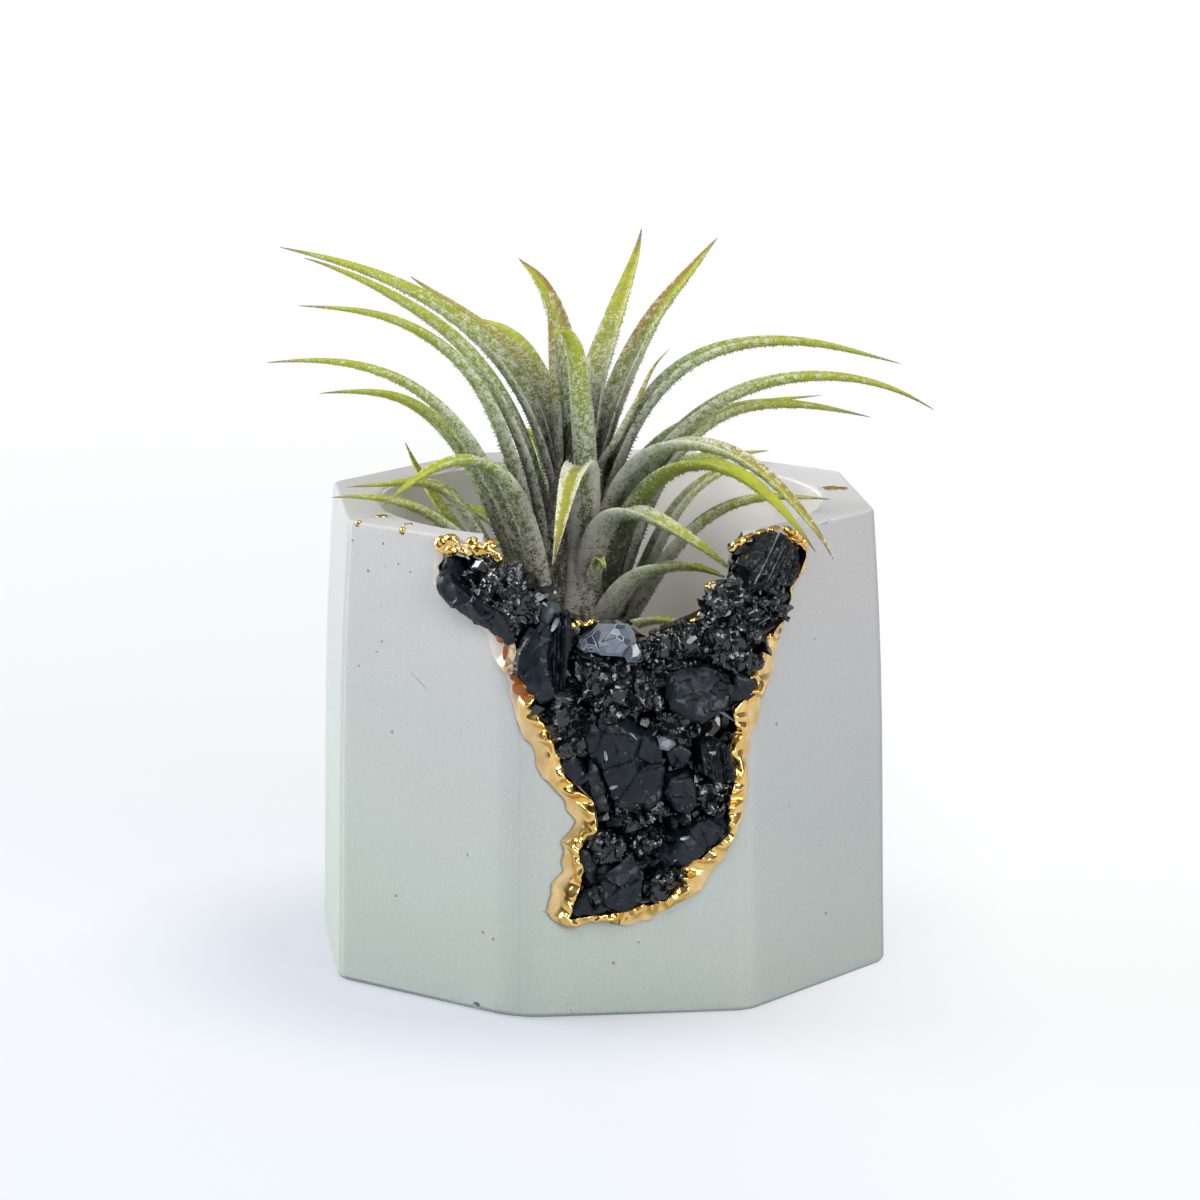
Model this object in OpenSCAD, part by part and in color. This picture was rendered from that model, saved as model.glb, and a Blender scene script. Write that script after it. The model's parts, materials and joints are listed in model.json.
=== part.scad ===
// Octagonal concrete pot whose broken front wall is healed with resin, black crystals and gold,
// with a small air plant standing loose in its round hollow.
// The origin is at the middle of the pot's base, and the broken wall faces -Y.

/* [Pot] */
// Width of the pot across its flats, at the base
base_w = 76; // [72:1:84]
// Width of the pot across its flats, at the rim
rim_w = 72; // [69:1:80]
// Height of the pot
pot_h = 64; // [58:1:72]
// Turn of the octagon seen from above, in degrees
pot_turn = 6.75; // [4:0.25:9]
// Radius of the upright edges
edge_r = 2; // [1:0.25:4]
// How far the walls belly out between base and rim
belly = 0.5; // [0:0.1:1.5]
// Radius of the edge round the base
base_edge_r = 0.9; // [0.4:0.1:2]
// Radius of the outer edge of the rim
rim_edge_r = 0.4; // [0.2:0.1:1]

/* [Hollow] */
// Diameter of the round hollow
bore_d = 61; // [57:0.5:63]
// How far the hollow sits forward of the pot's middle
bore_shift = 1.5; // [0:0.25:2]
// Height of the worn lip at the mouth of the hollow
lip_h = 0.4; // [0.2:0.1:1]
// Width of that lip
lip_w = 0.5; // [0.2:0.1:1]

/* [Break] */
// Width of the broken opening, from arm to arm
break_w = 50; // [46:1:52]
// Depth of the broken opening below the rim
break_h = 52; // [48:1:54]
// How far the opening's middle sits to the right of the pot's
break_x = 3; // [1:0.5:4]
// Depth of the resin's face below the outside of the wall
bed_depth = 2.5; // [1.5:0.25:4]
// How far a typical crystal stands out of the wall
crystal_stand = 2.6; // [1.5:0.1:4]
// Gap between neighbouring crystals
crystal_gap = 0.12; // [0.06:0.02:0.3]

/* [Gold] */
// Thickness of the gold band on the wall
gold_t = 0.9; // [0.4:0.1:1.6]
// Diameter of the largest gold nugget on the rim
nugget_d = 3; // [2:0.1:4]
// Thickness of the gold on the top edge of the resin
fleck_t = 0.7; // [0.4:0.1:1.2]
// Length of the gold-filled spot in the rim
spot_w = 3.6; // [2:0.2:4.4]
// Depth of that spot
spot_t = 0.3; // [0.2:0.1:0.8]

/* [Plant] */
// Height of the plant, from its foot to its highest leaf tip
plant_h = 80; // [74:1:84]
// Distance from the plant's middle to its furthest leaf tip
leaf_reach = 50; // [48:0.5:52]
// Width of a leaf at its widest
leaf_w = 3.9; // [3:0.1:4.2]
// Radius of the crown where it is widest
crown_r = 6.4; // [5.8:0.1:6.8]
// How far the plant stands left of the pot's middle
plant_left = 3; // [2:0.25:4]
// How far the plant stands in front of the pot's middle
plant_fore = 6; // [5:0.25:7]
// Share of the plant's height that stands in the hollow, below the rim
plant_sunk = 0.52; // [0.5:0.01:0.54]
// Gap between a leaf's foot and the crown
leaf_seat = 0.7; // [0.6:0.05:1]
// Gap between the plant and the floor of the hollow
foot_gap = 0.3; // [0.1:0.1:1]

/* [Hidden] */
over = 2; // overrun of every cut
sides = 8;
half_step = 180 / sides;
arc_steps = 4;
// The hollow is as deep as the plant needs
plant_z = pot_h - plant_sunk * plant_h;
floor_t = plant_z - foot_gap;

// Heights of the pot's levels between its two edges
level_share = [0.12, 0.28, 0.42, 0.54, 0.66, 0.78, 0.88, 0.95];

// Front view of the crystals' outline, clockwise from the end of the left arm, chosen by hand:
// across the break in shares of its width, and down from the rim in shares of its depth
top_edge_share = [
  [-0.49, -0.08], [-0.47, -0.055], [-0.42, -0.04], [-0.37, -0.05], [-0.29, -0.06],
  [-0.22, -0.11], [-0.20, -0.145], [-0.15, -0.19], [-0.07, -0.21], [0, -0.205],
  [0.05, -0.24], [0.09, -0.26], [0.10, -0.23], [0.18, -0.205], [0.215, -0.19],
  [0.22, -0.13], [0.28, -0.125], [0.28, -0.08], [0.29, -0.04], [0.32, -0.004]
];
low_edge_share = [
  [0.42, -0.006], [0.47, -0.035], [0.49, -0.065], [0.48, -0.10], [0.445, -0.135],
  [0.45, -0.18], [0.425, -0.225], [0.375, -0.25], [0.35, -0.31], [0.335, -0.34],
  [0.35, -0.38], [0.29, -0.425], [0.30, -0.48], [0.28, -0.525], [0.30, -0.59],
  [0.28, -0.68], [0.28, -0.75], [0.21, -0.81], [0.15, -0.835], [0.16, -0.88],
  [0.11, -0.92], [0.05, -0.93], [-0.01, -0.945], [-0.14, -0.96], [-0.12, -0.905],
  [-0.10, -0.835], [-0.115, -0.78], [-0.065, -0.73], [-0.075, -0.66], [-0.15, -0.59],
  [-0.17, -0.52], [-0.19, -0.465], [-0.245, -0.405], [-0.225, -0.375], [-0.28, -0.29],
  [-0.29, -0.235], [-0.365, -0.175], [-0.43, -0.155], [-0.48, -0.12]
];
// The notch starts at this point of the top edge, counted from the left arm
notch_first = 3;
notch_last = len(top_edge_share) - 1;

// Outer outline of the gold band, from the left arm round the foot of the break to the right arm
gold_edge_share = [
  [-0.495, -0.005], [-0.505, -0.125], [-0.475, -0.16], [-0.41, -0.185], [-0.36, -0.235],
  [-0.345, -0.285], [-0.30, -0.35], [-0.29, -0.415], [-0.275, -0.47], [-0.24, -0.515],
  [-0.225, -0.59], [-0.18, -0.625], [-0.15, -0.675], [-0.13, -0.715], [-0.16, -0.765],
  [-0.16, -0.835], [-0.19, -0.89], [-0.205, -0.94], [-0.175, -0.98], [-0.13, -0.99],
  [-0.08, -0.97], [-0.04, -0.97], [0.02, -0.985], [0.075, -0.965], [0.14, -0.94],
  [0.205, -0.90], [0.25, -0.84], [0.29, -0.775], [0.315, -0.72], [0.33, -0.66],
  [0.335, -0.595], [0.34, -0.52], [0.36, -0.45], [0.38, -0.385], [0.395, -0.32],
  [0.425, -0.245], [0.45, -0.175], [0.46, -0.13], [0.49, -0.11], [0.495, -0.055],
  [0.46, -0.012]
];

// Crystals: place across and down the break, stand out of the wall, size of the front face,
// and how the front face tips to the side and down
crystal_share = [
  [-0.42, -0.10, 0.80, 0.60, -0.3, 0.1], [-0.28, -0.16, 1.00, 0.55, 0.3, -0.3],
  [-0.21, -0.30, 1.25, 0.50, -0.5, 0.1], [-0.10, -0.39, 0.75, 0.60, 0.2, 0.4],
  [0.04, -0.38, 1.00, 0.55, -0.2, -0.4], [0.21, -0.38, 0.80, 0.75, 0.1, 0.3],
  [0.19, -0.26, 1.10, 0.60, 0.3, -0.2], [0.39, -0.06, 1.30, 0.60, -0.2, 0.2],
  [0.36, -0.19, 0.95, 0.60, 0.4, -0.3], [-0.09, -0.55, 0.90, 0.55, -0.3, 0.2],
  [0.07, -0.54, 1.15, 0.55, 0.2, 0.3], [0.23, -0.53, 0.85, 0.60, 0.3, -0.3],
  [-0.01, -0.71, 1.00, 0.50, -0.2, -0.3], [0.16, -0.74, 1.10, 0.65, 0.4, 0.2],
  [-0.06, -0.88, 0.95, 0.45, -0.3, 0.3], [0.08, -0.87, 0.80, 0.45, 0.2, -0.2]
];
quartz_share = [-0.02, -0.25, 1.05, 0.60, 0.1, 0.35];
seed_share = concat(crystal_share, [quartz_share]);

// Gold nuggets along the rim's front edge: place, diameter, and drop below the rim
nugget_share = [
  [-0.475, 1.0, 0.50], [-0.44, 0.75, 0.20], [-0.415, 0.6, 0.35], [-0.385, 0.8, 0.15],
  [0.44, 0.7, 0.25], [0.485, 0.55, 0.45]
];
// Stretches of the top edge that carry gold: middle and length
fleck_share = [[-0.09, 0.09], [0.075, 0.03], [0.17, 0.06], [0.25, 0.05]];
// Gold-filled spots on the rim: turn seen from above in degrees, and length
spot_share = [[10, 1], [207, 0.5], [219, 0.4]];
spot_aspect_share = 0.8;

// Crown of the plant: height in shares of the plant's, radius in shares of the crown's
crown_share = [
  [0, 0.34], [0.02, 0.45], [0.10, 0.60], [0.22, 0.87], [0.30, 1], [0.36, 0.91],
  [0.42, 0.72], [0.50, 0.51], [0.58, 0.35], [0.66, 0.13]
];

// Leaves, chosen by hand. Each row holds the leaf's turn about the crown and the turn that it
// gains on its way, in degrees; the height of its foot in shares of the plant's height; the
// angle at which it rises and the length of that rise in shares of its span; its reach and the
// height of its tip in shares of the plant's; the angle and length of its end; and its width.
// A leaf whose tip hangs lower than this share has its reach in shares of the rim's half width
hang_share = 0.51;
leaf_share = [
  [159, 0, 0.55, 80, 0.44, 0.89, 0.935, 8, 0.35, 1.0],
  [172, 0, 0.46, 84, 0.46, 0.76, 0.93, 12, 0.35, 1.0],
  [129, 0, 0.565, 82, 0.42, 0.76, 0.86, 22, 0.35, 0.9],
  [187, 0, 0.40, 82, 0.62, 0.76, 0.87, 3, 0.38, 1.0],
  [117, 0, 0.48, 80, 0.55, 0.66, 0.785, -5, 0.35, 1.1],
  [194, 0, 0.37, 74, 0.56, 0.86, 0.785, -3, 0.40, 1.0],
  [174, 0, 0.345, 70, 0.62, 0.715, 0.705, -5, 0.40, 1.0],
  [124, 0, 0.605, 92, 0.64, 0.29, 0.925, 25, 0.30, 0.9],
  [186, 0, 0.60, 89, 0.40, 0.085, 0.895, 86, 0.35, 0.6],
  [-70, -40, 0.50, 84, 0.65, 0.22, 0.82, -38, 0.30, 1.0],
  [58, 0, 0.62, 89, 0.40, 0.33, 0.97, 70, 0.40, 1.0],
  [35, 0, 0.58, 76, 0.45, 0.47, 0.955, 40, 0.30, 1.0],
  [50, 0, 0.55, 78, 0.35, 0.40, 0.86, 50, 0.35, 0.9],
  [-8, 0, 0.59, 48, 0.30, 0.25, 0.79, 50, 0.35, 0.5],
  [12, 0, 0.52, 76, 0.60, 0.91, 0.745, -18, 0.40, 1.0],
  [-4, 0, 0.465, 70, 0.50, 0.97, 0.69, -31, 0.38, 1.0],
  [28, 0, 0.46, 72, 0.50, 0.77, 0.67, 4, 0.40, 0.7],
  [10, 0, 0.38, 76, 0.70, 0.82, 0.655, -14, 0.40, 1.0],
  [-35, 0, 0.47, 76, 0.60, 1.153, 0.48, -56, 0.50, 1.0],
  [-42, 0, 0.40, 74, 0.62, 1.174, 0.505, -46, 0.50, 1.0],
  [10, 0, 0.33, 66, 0.52, 0.50, 0.57, -10, 0.35, 1.0],
  [-12, 0, 0.31, 65, 0.52, 0.70, 0.545, -3, 0.45, 1.0],
  [-74, 36, 0.40, 80, 0.78, 0.75, 0.43, -54, 0.50, 1.0],
  [-56, 32, 0.33, 66, 0.62, 0.625, 0.41, -28, 0.40, 1.0],
  [-70, 26, 0.26, 50, 0.45, 0.597, 0.345, -15, 0.40, 0.9],
  [-78, -22, 0.45, 88, 1.10, 0.556, 0.46, -84, 1.10, 1.1],
  [-72, 0, 0.38, 72, 0.50, 0.333, 0.43, -20, 0.40, 0.6],
  [218, -12, 0.36, 82, 0.92, 0.585, 0.545, -40, 0.50, 1.0],
  [195, 0, 0.32, 58, 0.52, 0.69, 0.55, -2, 0.35, 0.9],
  [178, 0, 0.26, 70, 0.85, 0.635, 0.545, -6, 0.40, 0.9],
  [150, 0, 0.32, 30, 0.40, 0.56, 0.595, 62, 0.30, 0.8],
  [53, 0, 0.42, 55, 0.42, 0.90, 0.53, -5, 0.35, 0.9],
  [85, 0, 0.46, 70, 0.50, 0.74, 0.62, -15, 0.35, 1.0],
  [104, 0, 0.40, 62, 0.50, 0.66, 0.58, -10, 0.35, 1.0],
  [70, 0, 0.36, 55, 0.45, 0.833, 0.50, -10, 0.35, 1.0],
  [140, 0, 0.36, 60, 0.45, 0.694, 0.48, -8, 0.35, 0.9]
];
// Width of a leaf along its length
taper_share = [0.50, 0.72, 0.92, 1, 0.97, 0.88, 0.74, 0.54, 0.32, 0.08];
// Section of a leaf: flat towards the crown and keeled below
section_share = [[0.50, 0.16], [-0.50, 0.16], [-0.32, -0.08], [0, -0.18], [0.32, -0.08]];

// Two digits, so that the names sort
function numbered(name, i) = str(name, i < 9 ? "_0" : "_", i + 1);
crystal_names = [for (i = [0:len(crystal_share) - 1]) numbered("crystal", i)];
leaf_names = [for (i = [0:len(leaf_share) - 1]) numbered("leaf", i)];

// Distance from the pot's middle to a flat, at height z
function flat_at(z) =
  base_w / 2 + (rim_w - base_w) / 2 * z / pot_h + belly * sin(180 * pow(z / pot_h, 1.5));

// Octagon with round corners at height z, drawn in by inset
function octagon(z, inset) = [
  for (side = [0:sides - 1], k = [0:arc_steps])
    let (
      corner = half_step + side * 2 * half_step + pot_turn,
      a = corner - half_step + k * 2 * half_step / arc_steps,
      c = (flat_at(z) - inset - edge_r) / cos(half_step)
    )
    [c * cos(corner) + edge_r * cos(a), c * sin(corner) + edge_r * sin(a), z]
];

// Front of the wall at a place across and up
function wall_y(x, z) = max([
  for (side = [0:sides - 1])
    let (a = 2 * half_step * side + pot_turn)
    if (sin(a) < -0.5) (flat_at(z) - x * cos(a)) / sin(a)
]);

// Closed solid through rings of points, anticlockwise seen from the last ring
module loft(rings) {
  n = len(rings[0]);
  m = len(rings);
  polyhedron(
    points = [for (ring = rings) each ring],
    faces = concat(
      [[for (i = [0:n - 1]) i]],
      [for (j = [0:m - 2], i = [0:n - 1])
        let (a = j * n + i, b = j * n + (i + 1) % n) each [[a, a + n, b], [b, a + n, b + n]]],
      [[for (i = [n - 1:-1:0]) (m - 1) * n + i]]
    )
  );
}

// The pot's outer form, drawn in by inset, or let out where inset is negative
module pot_form(inset) {
  foot = base_edge_r;
  top = rim_edge_r;
  loft(concat(
    [octagon(0, inset + foot), octagon(foot * 0.3, inset + foot * 0.3), octagon(foot, inset)],
    [for (s = level_share) octagon(s * pot_h, inset)],
    [octagon(pot_h - top, inset), octagon(pot_h - top * 0.3, inset + top * 0.3),
     octagon(pot_h, inset + top)]
  ));
}

module bore(r, z0, z1) {
  translate([0, -bore_shift, z0]) cylinder(r = r, h = z1 - z0, $fn = 96);
}

// From a place in the break to millimetres across and up
function in_break(p) = [break_x + p[0] * break_w, pot_h + p[1] * break_h];
crystal_edge = [for (p = concat(top_edge_share, low_edge_share)) in_break(p)];
notch_edge = concat(
  [for (i = [notch_first:notch_last]) in_break(top_edge_share[i])],
  [[in_break(top_edge_share[notch_last])[0], pot_h + over],
   [in_break(top_edge_share[notch_first])[0], pot_h + over]]
);

// Front-view shape pushed through the front wall, which ends inside the hollow
break_back = bore_shift + bore_d / 5;
module through_wall() {
  translate([0, -break_back, 0])
    rotate([90, 0, 0])
      linear_extrude(base_w / 2 + over)
        children();
}

// Ellipse on the rim, midway between the hollow and the outside
module spot(i, r0) {
  turn = spot_share[i][0];
  length = spot_w * spot_share[i][1];
  middle = (bore_d / 2 + rim_w / 2) / 2;
  translate([middle * cos(turn), middle * sin(turn) - bore_shift / 2, 0])
    linear_extrude(r0)
      polygon([for (a = [0:15:345])
        [length / 2 * cos(a), length / 2 * spot_aspect_share * sin(a)]]);
}

module pot_body() {
  color("#b9bfbc") difference() {
    pot_form(0);
    bore(bore_d / 2, floor_t, pot_h + over);
    translate([0, -bore_shift, pot_h - lip_h])
      cylinder(r1 = bore_d / 2, r2 = bore_d / 2 + lip_w, h = lip_h, $fn = 96);
    through_wall() polygon(crystal_edge);
    through_wall() polygon(notch_edge);
    for (i = [0:len(spot_share) - 1])
      translate([0, 0, pot_h - spot_t]) spot(i, spot_t + over);
  }
}

// Gold-filled spots lie level with the rim
module rim_spots() {
  color("#c9962e")
    for (i = [0:len(spot_share) - 1])
      translate([0, 0, pot_h - spot_t]) spot(i, spot_t);
}

// Resin fills the break from the hollow to a face sunk into the wall
module resin_bed() {
  color("#3a2a16") difference() {
    intersection() {
      through_wall() polygon(crystal_edge);
      pot_form(bed_depth);
    }
    bore(bore_d / 2, floor_t - over, pot_h + over);
  }
}

// Convex outline cut back to the side of a line that faces away from n
function cut_back(shape, p, n) = [
  for (i = [0:len(shape) - 1])
    let (
      a = shape[i], b = shape[(i + 1) % len(shape)],
      da = (a - p) * n, db = (b - p) * n
    )
    each concat(da <= 0 ? [a] : [], da * db < 0 ? [a + (b - a) * da / (da - db)] : [])
];

seeds = [for (s = seed_share) in_break(s)];
break_box = [
  in_break([-0.6, -1.05]), in_break([0.6, -1.05]), in_break([0.6, 0.1]), in_break([-0.6, 0.1])
];

// Part of the break that lies nearer to seed i than to any other
function cell(i, j = 0, shape = break_box) =
  j == len(seeds) ? shape
  : j == i ? cell(i, j + 1, shape)
  : let (n = (seeds[j] - seeds[i]) / norm(seeds[j] - seeds[i]))
    cell(i, j + 1, cut_back(shape, (seeds[i] + seeds[j]) / 2 - n * crystal_gap / 2, n));

// Plane that lies along the wall at the crystal's middle, stand in front of it
function front_at(q, middle, stand) =
  let (
    y = wall_y(middle[0], middle[1]),
    slope = (wall_y(middle[0] + edge_r, middle[1]) - wall_y(middle[0] - edge_r, middle[1]))
      / (2 * edge_r)
  )
  y + slope * (q[0] - middle[0]) - stand;

// One crystal: straight sides out of the bed, then a smaller front face that tips
module crystal_form(i) {
  row = seed_share[i];
  middle = seeds[i];
  stand = crystal_stand * row[2];
  shape = cell(i);
  function at(p, y) = [p[0], y, p[1]];
  function shrunk(p, s) = middle + (p - middle) * s;
  difference() {
    intersection() {
      loft([
        [for (p = shape) at(p, wall_y(p[0], p[1]) + bed_depth * 2)],
        [for (p = shape) at(p, wall_y(p[0], p[1]) - stand * 0.2)],
        [for (p = shape) let (q = shrunk(p, (1 + row[3]) / 2))
          at(q, front_at(q, middle, stand * 0.8) + [row[4], row[5]] * (q - middle) / 2)],
        [for (p = shape) let (q = shrunk(p, row[3]))
          at(q, front_at(q, middle, stand) + [row[4], row[5]] * (q - middle))]
      ]);
      through_wall() polygon(crystal_edge);
    }
    pot_form(bed_depth);
  }
}

module crystal(i) {
  color(i % 2 == 0 ? "#16191c" : "#23282c") crystal_form(i);
}

module quartz_crystal() {
  color("#6f7a86") crystal_form(len(crystal_share));
}

// Raised gold that follows the broken edge on the outside of the wall
module gold_rim() {
  color("#d4a23c") difference() {
    intersection() {
      through_wall() polygon([for (p = gold_edge_share) in_break(p)]);
      pot_form(-gold_t);
    }
    pot_form(0);
    through_wall() polygon(crystal_edge);
    through_wall() polygon(notch_edge);
  }
}

// Rounded lump about the origin
module lump(r) {
  loft([
    for (up = [-75:25:75])
      [for (a = [0:24:336]) r * [cos(up) * cos(a), cos(up) * sin(a), sin(up)]]
  ]);
}

// Lumps of gold on the front edge of the rim
module gold_nuggets() {
  color("#e0b050") difference() {
    for (row = nugget_share)
      let (
        x = in_break([row[0], 0])[0],
        d = nugget_d * row[1],
        z = pot_h - d * row[2]
      )
      translate([x, wall_y(x, z) - gold_t - d * 0.25, z]) lump(d / 2);
    pot_form(-gold_t);
    through_wall() polygon(crystal_edge);
  }
}

// Thin gold on the top edge of the resin, inside the notch
module gold_flecks() {
  color("#e0b050") difference() {
    intersection() {
      through_wall() intersection() {
        offset(delta = fleck_t) polygon(crystal_edge);
        polygon(notch_edge);
        for (row = fleck_share)
          translate([in_break([row[0] - row[1] / 2, 0])[0], 0])
            square([row[1] * break_w, pot_h]);
      }
      pot_form(bed_depth);
    }
    bore(bore_d / 2, floor_t, pot_h + over);
  }
}

// Radius of the crown at a share of the plant's height
function crown_at(s) = crown_r * lookup(s, crown_share);

module plant_crown() {
  color("#9aa694")
    translate([-plant_left, -plant_fore, plant_z])
      rotate_extrude($fn = 48)
        polygon(concat(
          [[0, 0]],
          [for (p = crown_share) [p[1] * crown_r, p[0] * plant_h]],
          [[0, crown_share[len(crown_share) - 1][0] * plant_h]]
        ));
}

function along(angle, length) = length * [cos(angle), sin(angle)];

// Closed blade on a curve with two handles
module leaf(i) {
  row = leaf_share[i];
  foot = [crown_at(row[2]) + leaf_seat, row[2] * plant_h];
  tip = [row[5] * (row[6] < hang_share ? rim_w / 2 : leaf_reach), row[6] * plant_h];
  span = norm(tip - foot);
  rise = foot + along(row[3], row[4] * span);
  fall = tip - along(row[7], row[8] * span);
  steps = len(taper_share) - 1;
  color(i % 3 == 0 ? "#8fa03c" : i % 3 == 1 ? "#9fab4a" : "#7f9650")
    translate([-plant_left, -plant_fore, plant_z])
      loft([
        for (k = [0:steps])
          let (
            t = k / steps, u = 1 - t,
            at = u * u * u * foot + 3 * u * u * t * rise + 3 * u * t * t * fall + t * t * t * tip,
            way = u * u * (rise - foot) + 2 * u * t * (fall - rise) + t * t * (tip - fall),
            lean = atan2(way[1], way[0]),
            turn = row[0] + row[1] * t,
            w = leaf_w * row[9] * taper_share[k]
          )
          [for (p = section_share)
            let (s = p[0] * w, out = at[0] - p[1] * w * sin(lean))
            [out * cos(turn) - s * sin(turn), out * sin(turn) + s * cos(turn),
             at[1] + p[1] * w * cos(lean)]]
      ]);
}

pot_body();
resin_bed();
gold_rim();
gold_nuggets();
gold_flecks();
rim_spots();
quartz_crystal();
plant_crown();
for (i = [0:len(crystal_share) - 1]) crystal(i);
for (i = [0:len(leaf_share) - 1]) leaf(i);
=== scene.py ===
import bpy
import json
import math
import random
from bisect import bisect
from mathutils import Matrix, Vector, noise
from mathutils.bvhtree import BVHTree
from mathutils.kdtree import KDTree

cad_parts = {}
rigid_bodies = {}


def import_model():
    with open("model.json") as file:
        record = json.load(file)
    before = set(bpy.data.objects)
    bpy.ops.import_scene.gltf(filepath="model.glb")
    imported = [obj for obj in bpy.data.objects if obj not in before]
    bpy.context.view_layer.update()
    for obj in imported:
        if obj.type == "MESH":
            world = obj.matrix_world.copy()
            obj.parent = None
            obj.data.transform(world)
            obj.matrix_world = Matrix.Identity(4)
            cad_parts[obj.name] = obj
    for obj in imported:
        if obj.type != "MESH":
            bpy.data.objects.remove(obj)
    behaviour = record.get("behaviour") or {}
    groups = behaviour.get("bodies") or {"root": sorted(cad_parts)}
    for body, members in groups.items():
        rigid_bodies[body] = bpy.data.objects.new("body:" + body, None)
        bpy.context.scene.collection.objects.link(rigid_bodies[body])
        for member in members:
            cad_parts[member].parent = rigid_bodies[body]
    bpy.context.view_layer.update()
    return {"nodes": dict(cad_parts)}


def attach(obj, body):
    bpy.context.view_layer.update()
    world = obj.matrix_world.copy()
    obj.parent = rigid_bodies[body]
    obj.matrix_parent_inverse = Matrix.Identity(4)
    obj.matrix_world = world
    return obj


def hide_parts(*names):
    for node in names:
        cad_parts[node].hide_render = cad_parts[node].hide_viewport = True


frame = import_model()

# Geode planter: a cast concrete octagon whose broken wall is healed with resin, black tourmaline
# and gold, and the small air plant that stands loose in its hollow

mm = 0.001
tools = bpy.ops


# Small helpers

def linearColour(hexText):  # sRGB hex to the linear values that a socket takes
    channels = [int(hexText[i:i + 2], 16) / 255 for i in (0, 2, 4)]
    return [c / 12.92 if c <= 0.04045 else ((c + 0.055) / 1.055) ** 2.4 for c in channels] + [1]


def linkTo(node, links):  # a source is a socket, or a node whose first output in use is meant
    for name, source in links.items():
        if isinstance(source, bpy.types.Node):
            source = next(socket for socket in source.outputs if socket.enabled)
        node.id_data.links.new(source, node.inputs[name])


def addNode(tree, kind, settings={}, links={}):  # a second word in kind is the operation
    kind, *operation = kind.split()
    node = tree.nodes.new("ShaderNode" + kind)
    if operation:
        node.operation = operation[0]
    if kind == "Mix":
        node.data_type = "RGBA"
    for name, value in settings.items():
        if name == "stops":  # places and colours of a ramp
            for place, colour in value[1:-1]:
                node.color_ramp.elements.new(place)
            for element, (place, colour) in zip(node.color_ramp.elements, value):
                element.position, element.color = place, linearColour(colour)
        elif isinstance(name, str) and hasattr(node, name):
            setattr(node, name, value)
        else:
            node.inputs[name].default_value = linearColour(value) if isinstance(value, str) else value
    linkTo(node, links)
    return node


def newMaterial(name, settings):  # also gives the place on the object that its patterns read
    material = bpy.data.materials.new(name)
    material.use_nodes = True
    tree = material.node_tree
    tree.nodes.clear()
    shader = addNode(tree, "BsdfPrincipled", settings)
    addNode(tree, "OutputMaterial", {}, {"Surface": shader})
    return material, tree, shader, addNode(tree, "TexCoord").outputs["Object"]


def onlySelect(*pieces):
    if bpy.context.object and bpy.context.object.mode != "OBJECT":
        setMode("OBJECT")
    tools.object.select_all(action="DESELECT")
    for piece in pieces:
        piece.select_set(True)
    if pieces:
        bpy.context.view_layer.objects.active = pieces[0]


def setMode(mode):
    tools.object.mode_set(mode=mode)


def selectVerts(piece, rule):  # leaves the piece in edit mode with only these vertices picked
    onlySelect(piece)
    setMode("EDIT")
    tools.mesh.select_mode(type="VERT")
    tools.mesh.select_all(action="DESELECT")
    setMode("OBJECT")
    for vertex in piece.data.vertices:
        vertex.select = rule(vertex.co)
    setMode("EDIT")


def newPrimitive(kind, **settings):
    onlySelect()
    getattr(tools.mesh, "primitive_%s_add" % kind)(**settings)
    return bpy.context.object


def applyModifier(piece, kind, **settings):
    onlySelect(piece)
    modifier = piece.modifiers.new(kind, kind)
    for name, value in settings.items():
        setattr(modifier, name, value)
    tools.object.modifier_apply(modifier=modifier.name)


def skinOver(piece, voxel):  # one closed skin over all that the piece holds
    applyModifier(piece, "REMESH", mode="VOXEL", voxel_size=voxel)


def relax(piece, times):
    applyModifier(piece, "SMOOTH", factor=0.5, iterations=times)


def shadeSmooth(piece, degrees=None):  # all round, or up to an angle between the faces
    onlySelect(piece)
    if degrees:
        tools.object.shade_smooth_by_angle(angle=math.radians(degrees))
    else:
        tools.object.shade_smooth()


def copyOf(pattern, name, matrix=None):  # each copy has its own mesh, with its place in it
    piece = pattern.copy()
    piece.data = pattern.data.copy()
    piece.name = name
    bpy.context.scene.collection.objects.link(piece)
    if matrix:
        piece.data.transform(matrix)
    return piece


def joinPieces(pieces, name):
    onlySelect(*pieces)
    tools.object.join()
    pieces[0].name = name
    return pieces[0]


def addFields(piece, *names):  # numbers at each vertex that a material reads, nought at first
    for name in names:
        piece.data.attributes.new(name, "FLOAT", "POINT")
    return [piece.data.attributes[name].data for name in names]


def finishPiece(piece, material, body, slot, *nodes):
    if material:
        piece.data.materials.clear()
        piece.data.materials.append(material)
    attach(piece, body)
    if nodes:
        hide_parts(*nodes)


def turnOf(degrees, axis):
    return Matrix.Rotation(math.radians(degrees), 4, axis)


def mixOf(a, b, share):
    return a + (b - a) * share


def easeBetween(low, high, value):
    share = min(1, max(0, (value - low) / (high - low)))
    return share * share * (3 - 2 * share)


def readTable(table, place):  # straight between the rows of a table
    for (p0, v0), (p1, v1) in zip(table, table[1:]):
        if place <= p1:
            return mixOf(v0, v1, min(1, max(0, (place - p0) / (p1 - p0))))
    return table[-1][1]


# The pot's own form, in millimetres

pot = {
    "baseWidth": 76, "rimWidth": 72, "height": 64, "turn": 6.75, "belly": 0.5,
    "hollowWidth": 61, "hollowShift": 1.5,
    "breakWidth": 50, "breakHeight": 52, "breakX": 3,
}


def sideTurn(side):  # which way a flat of the octagon faces
    return math.radians(45 * side + pot["turn"])


def flatAt(z):  # from the pot's middle to a flat
    share = max(0, z / pot["height"])
    return (pot["baseWidth"] / 2 + (pot["rimWidth"] - pot["baseWidth"]) / 2 * share
            + pot["belly"] * math.sin(math.pi * min(1, share) ** 1.5))


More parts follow.
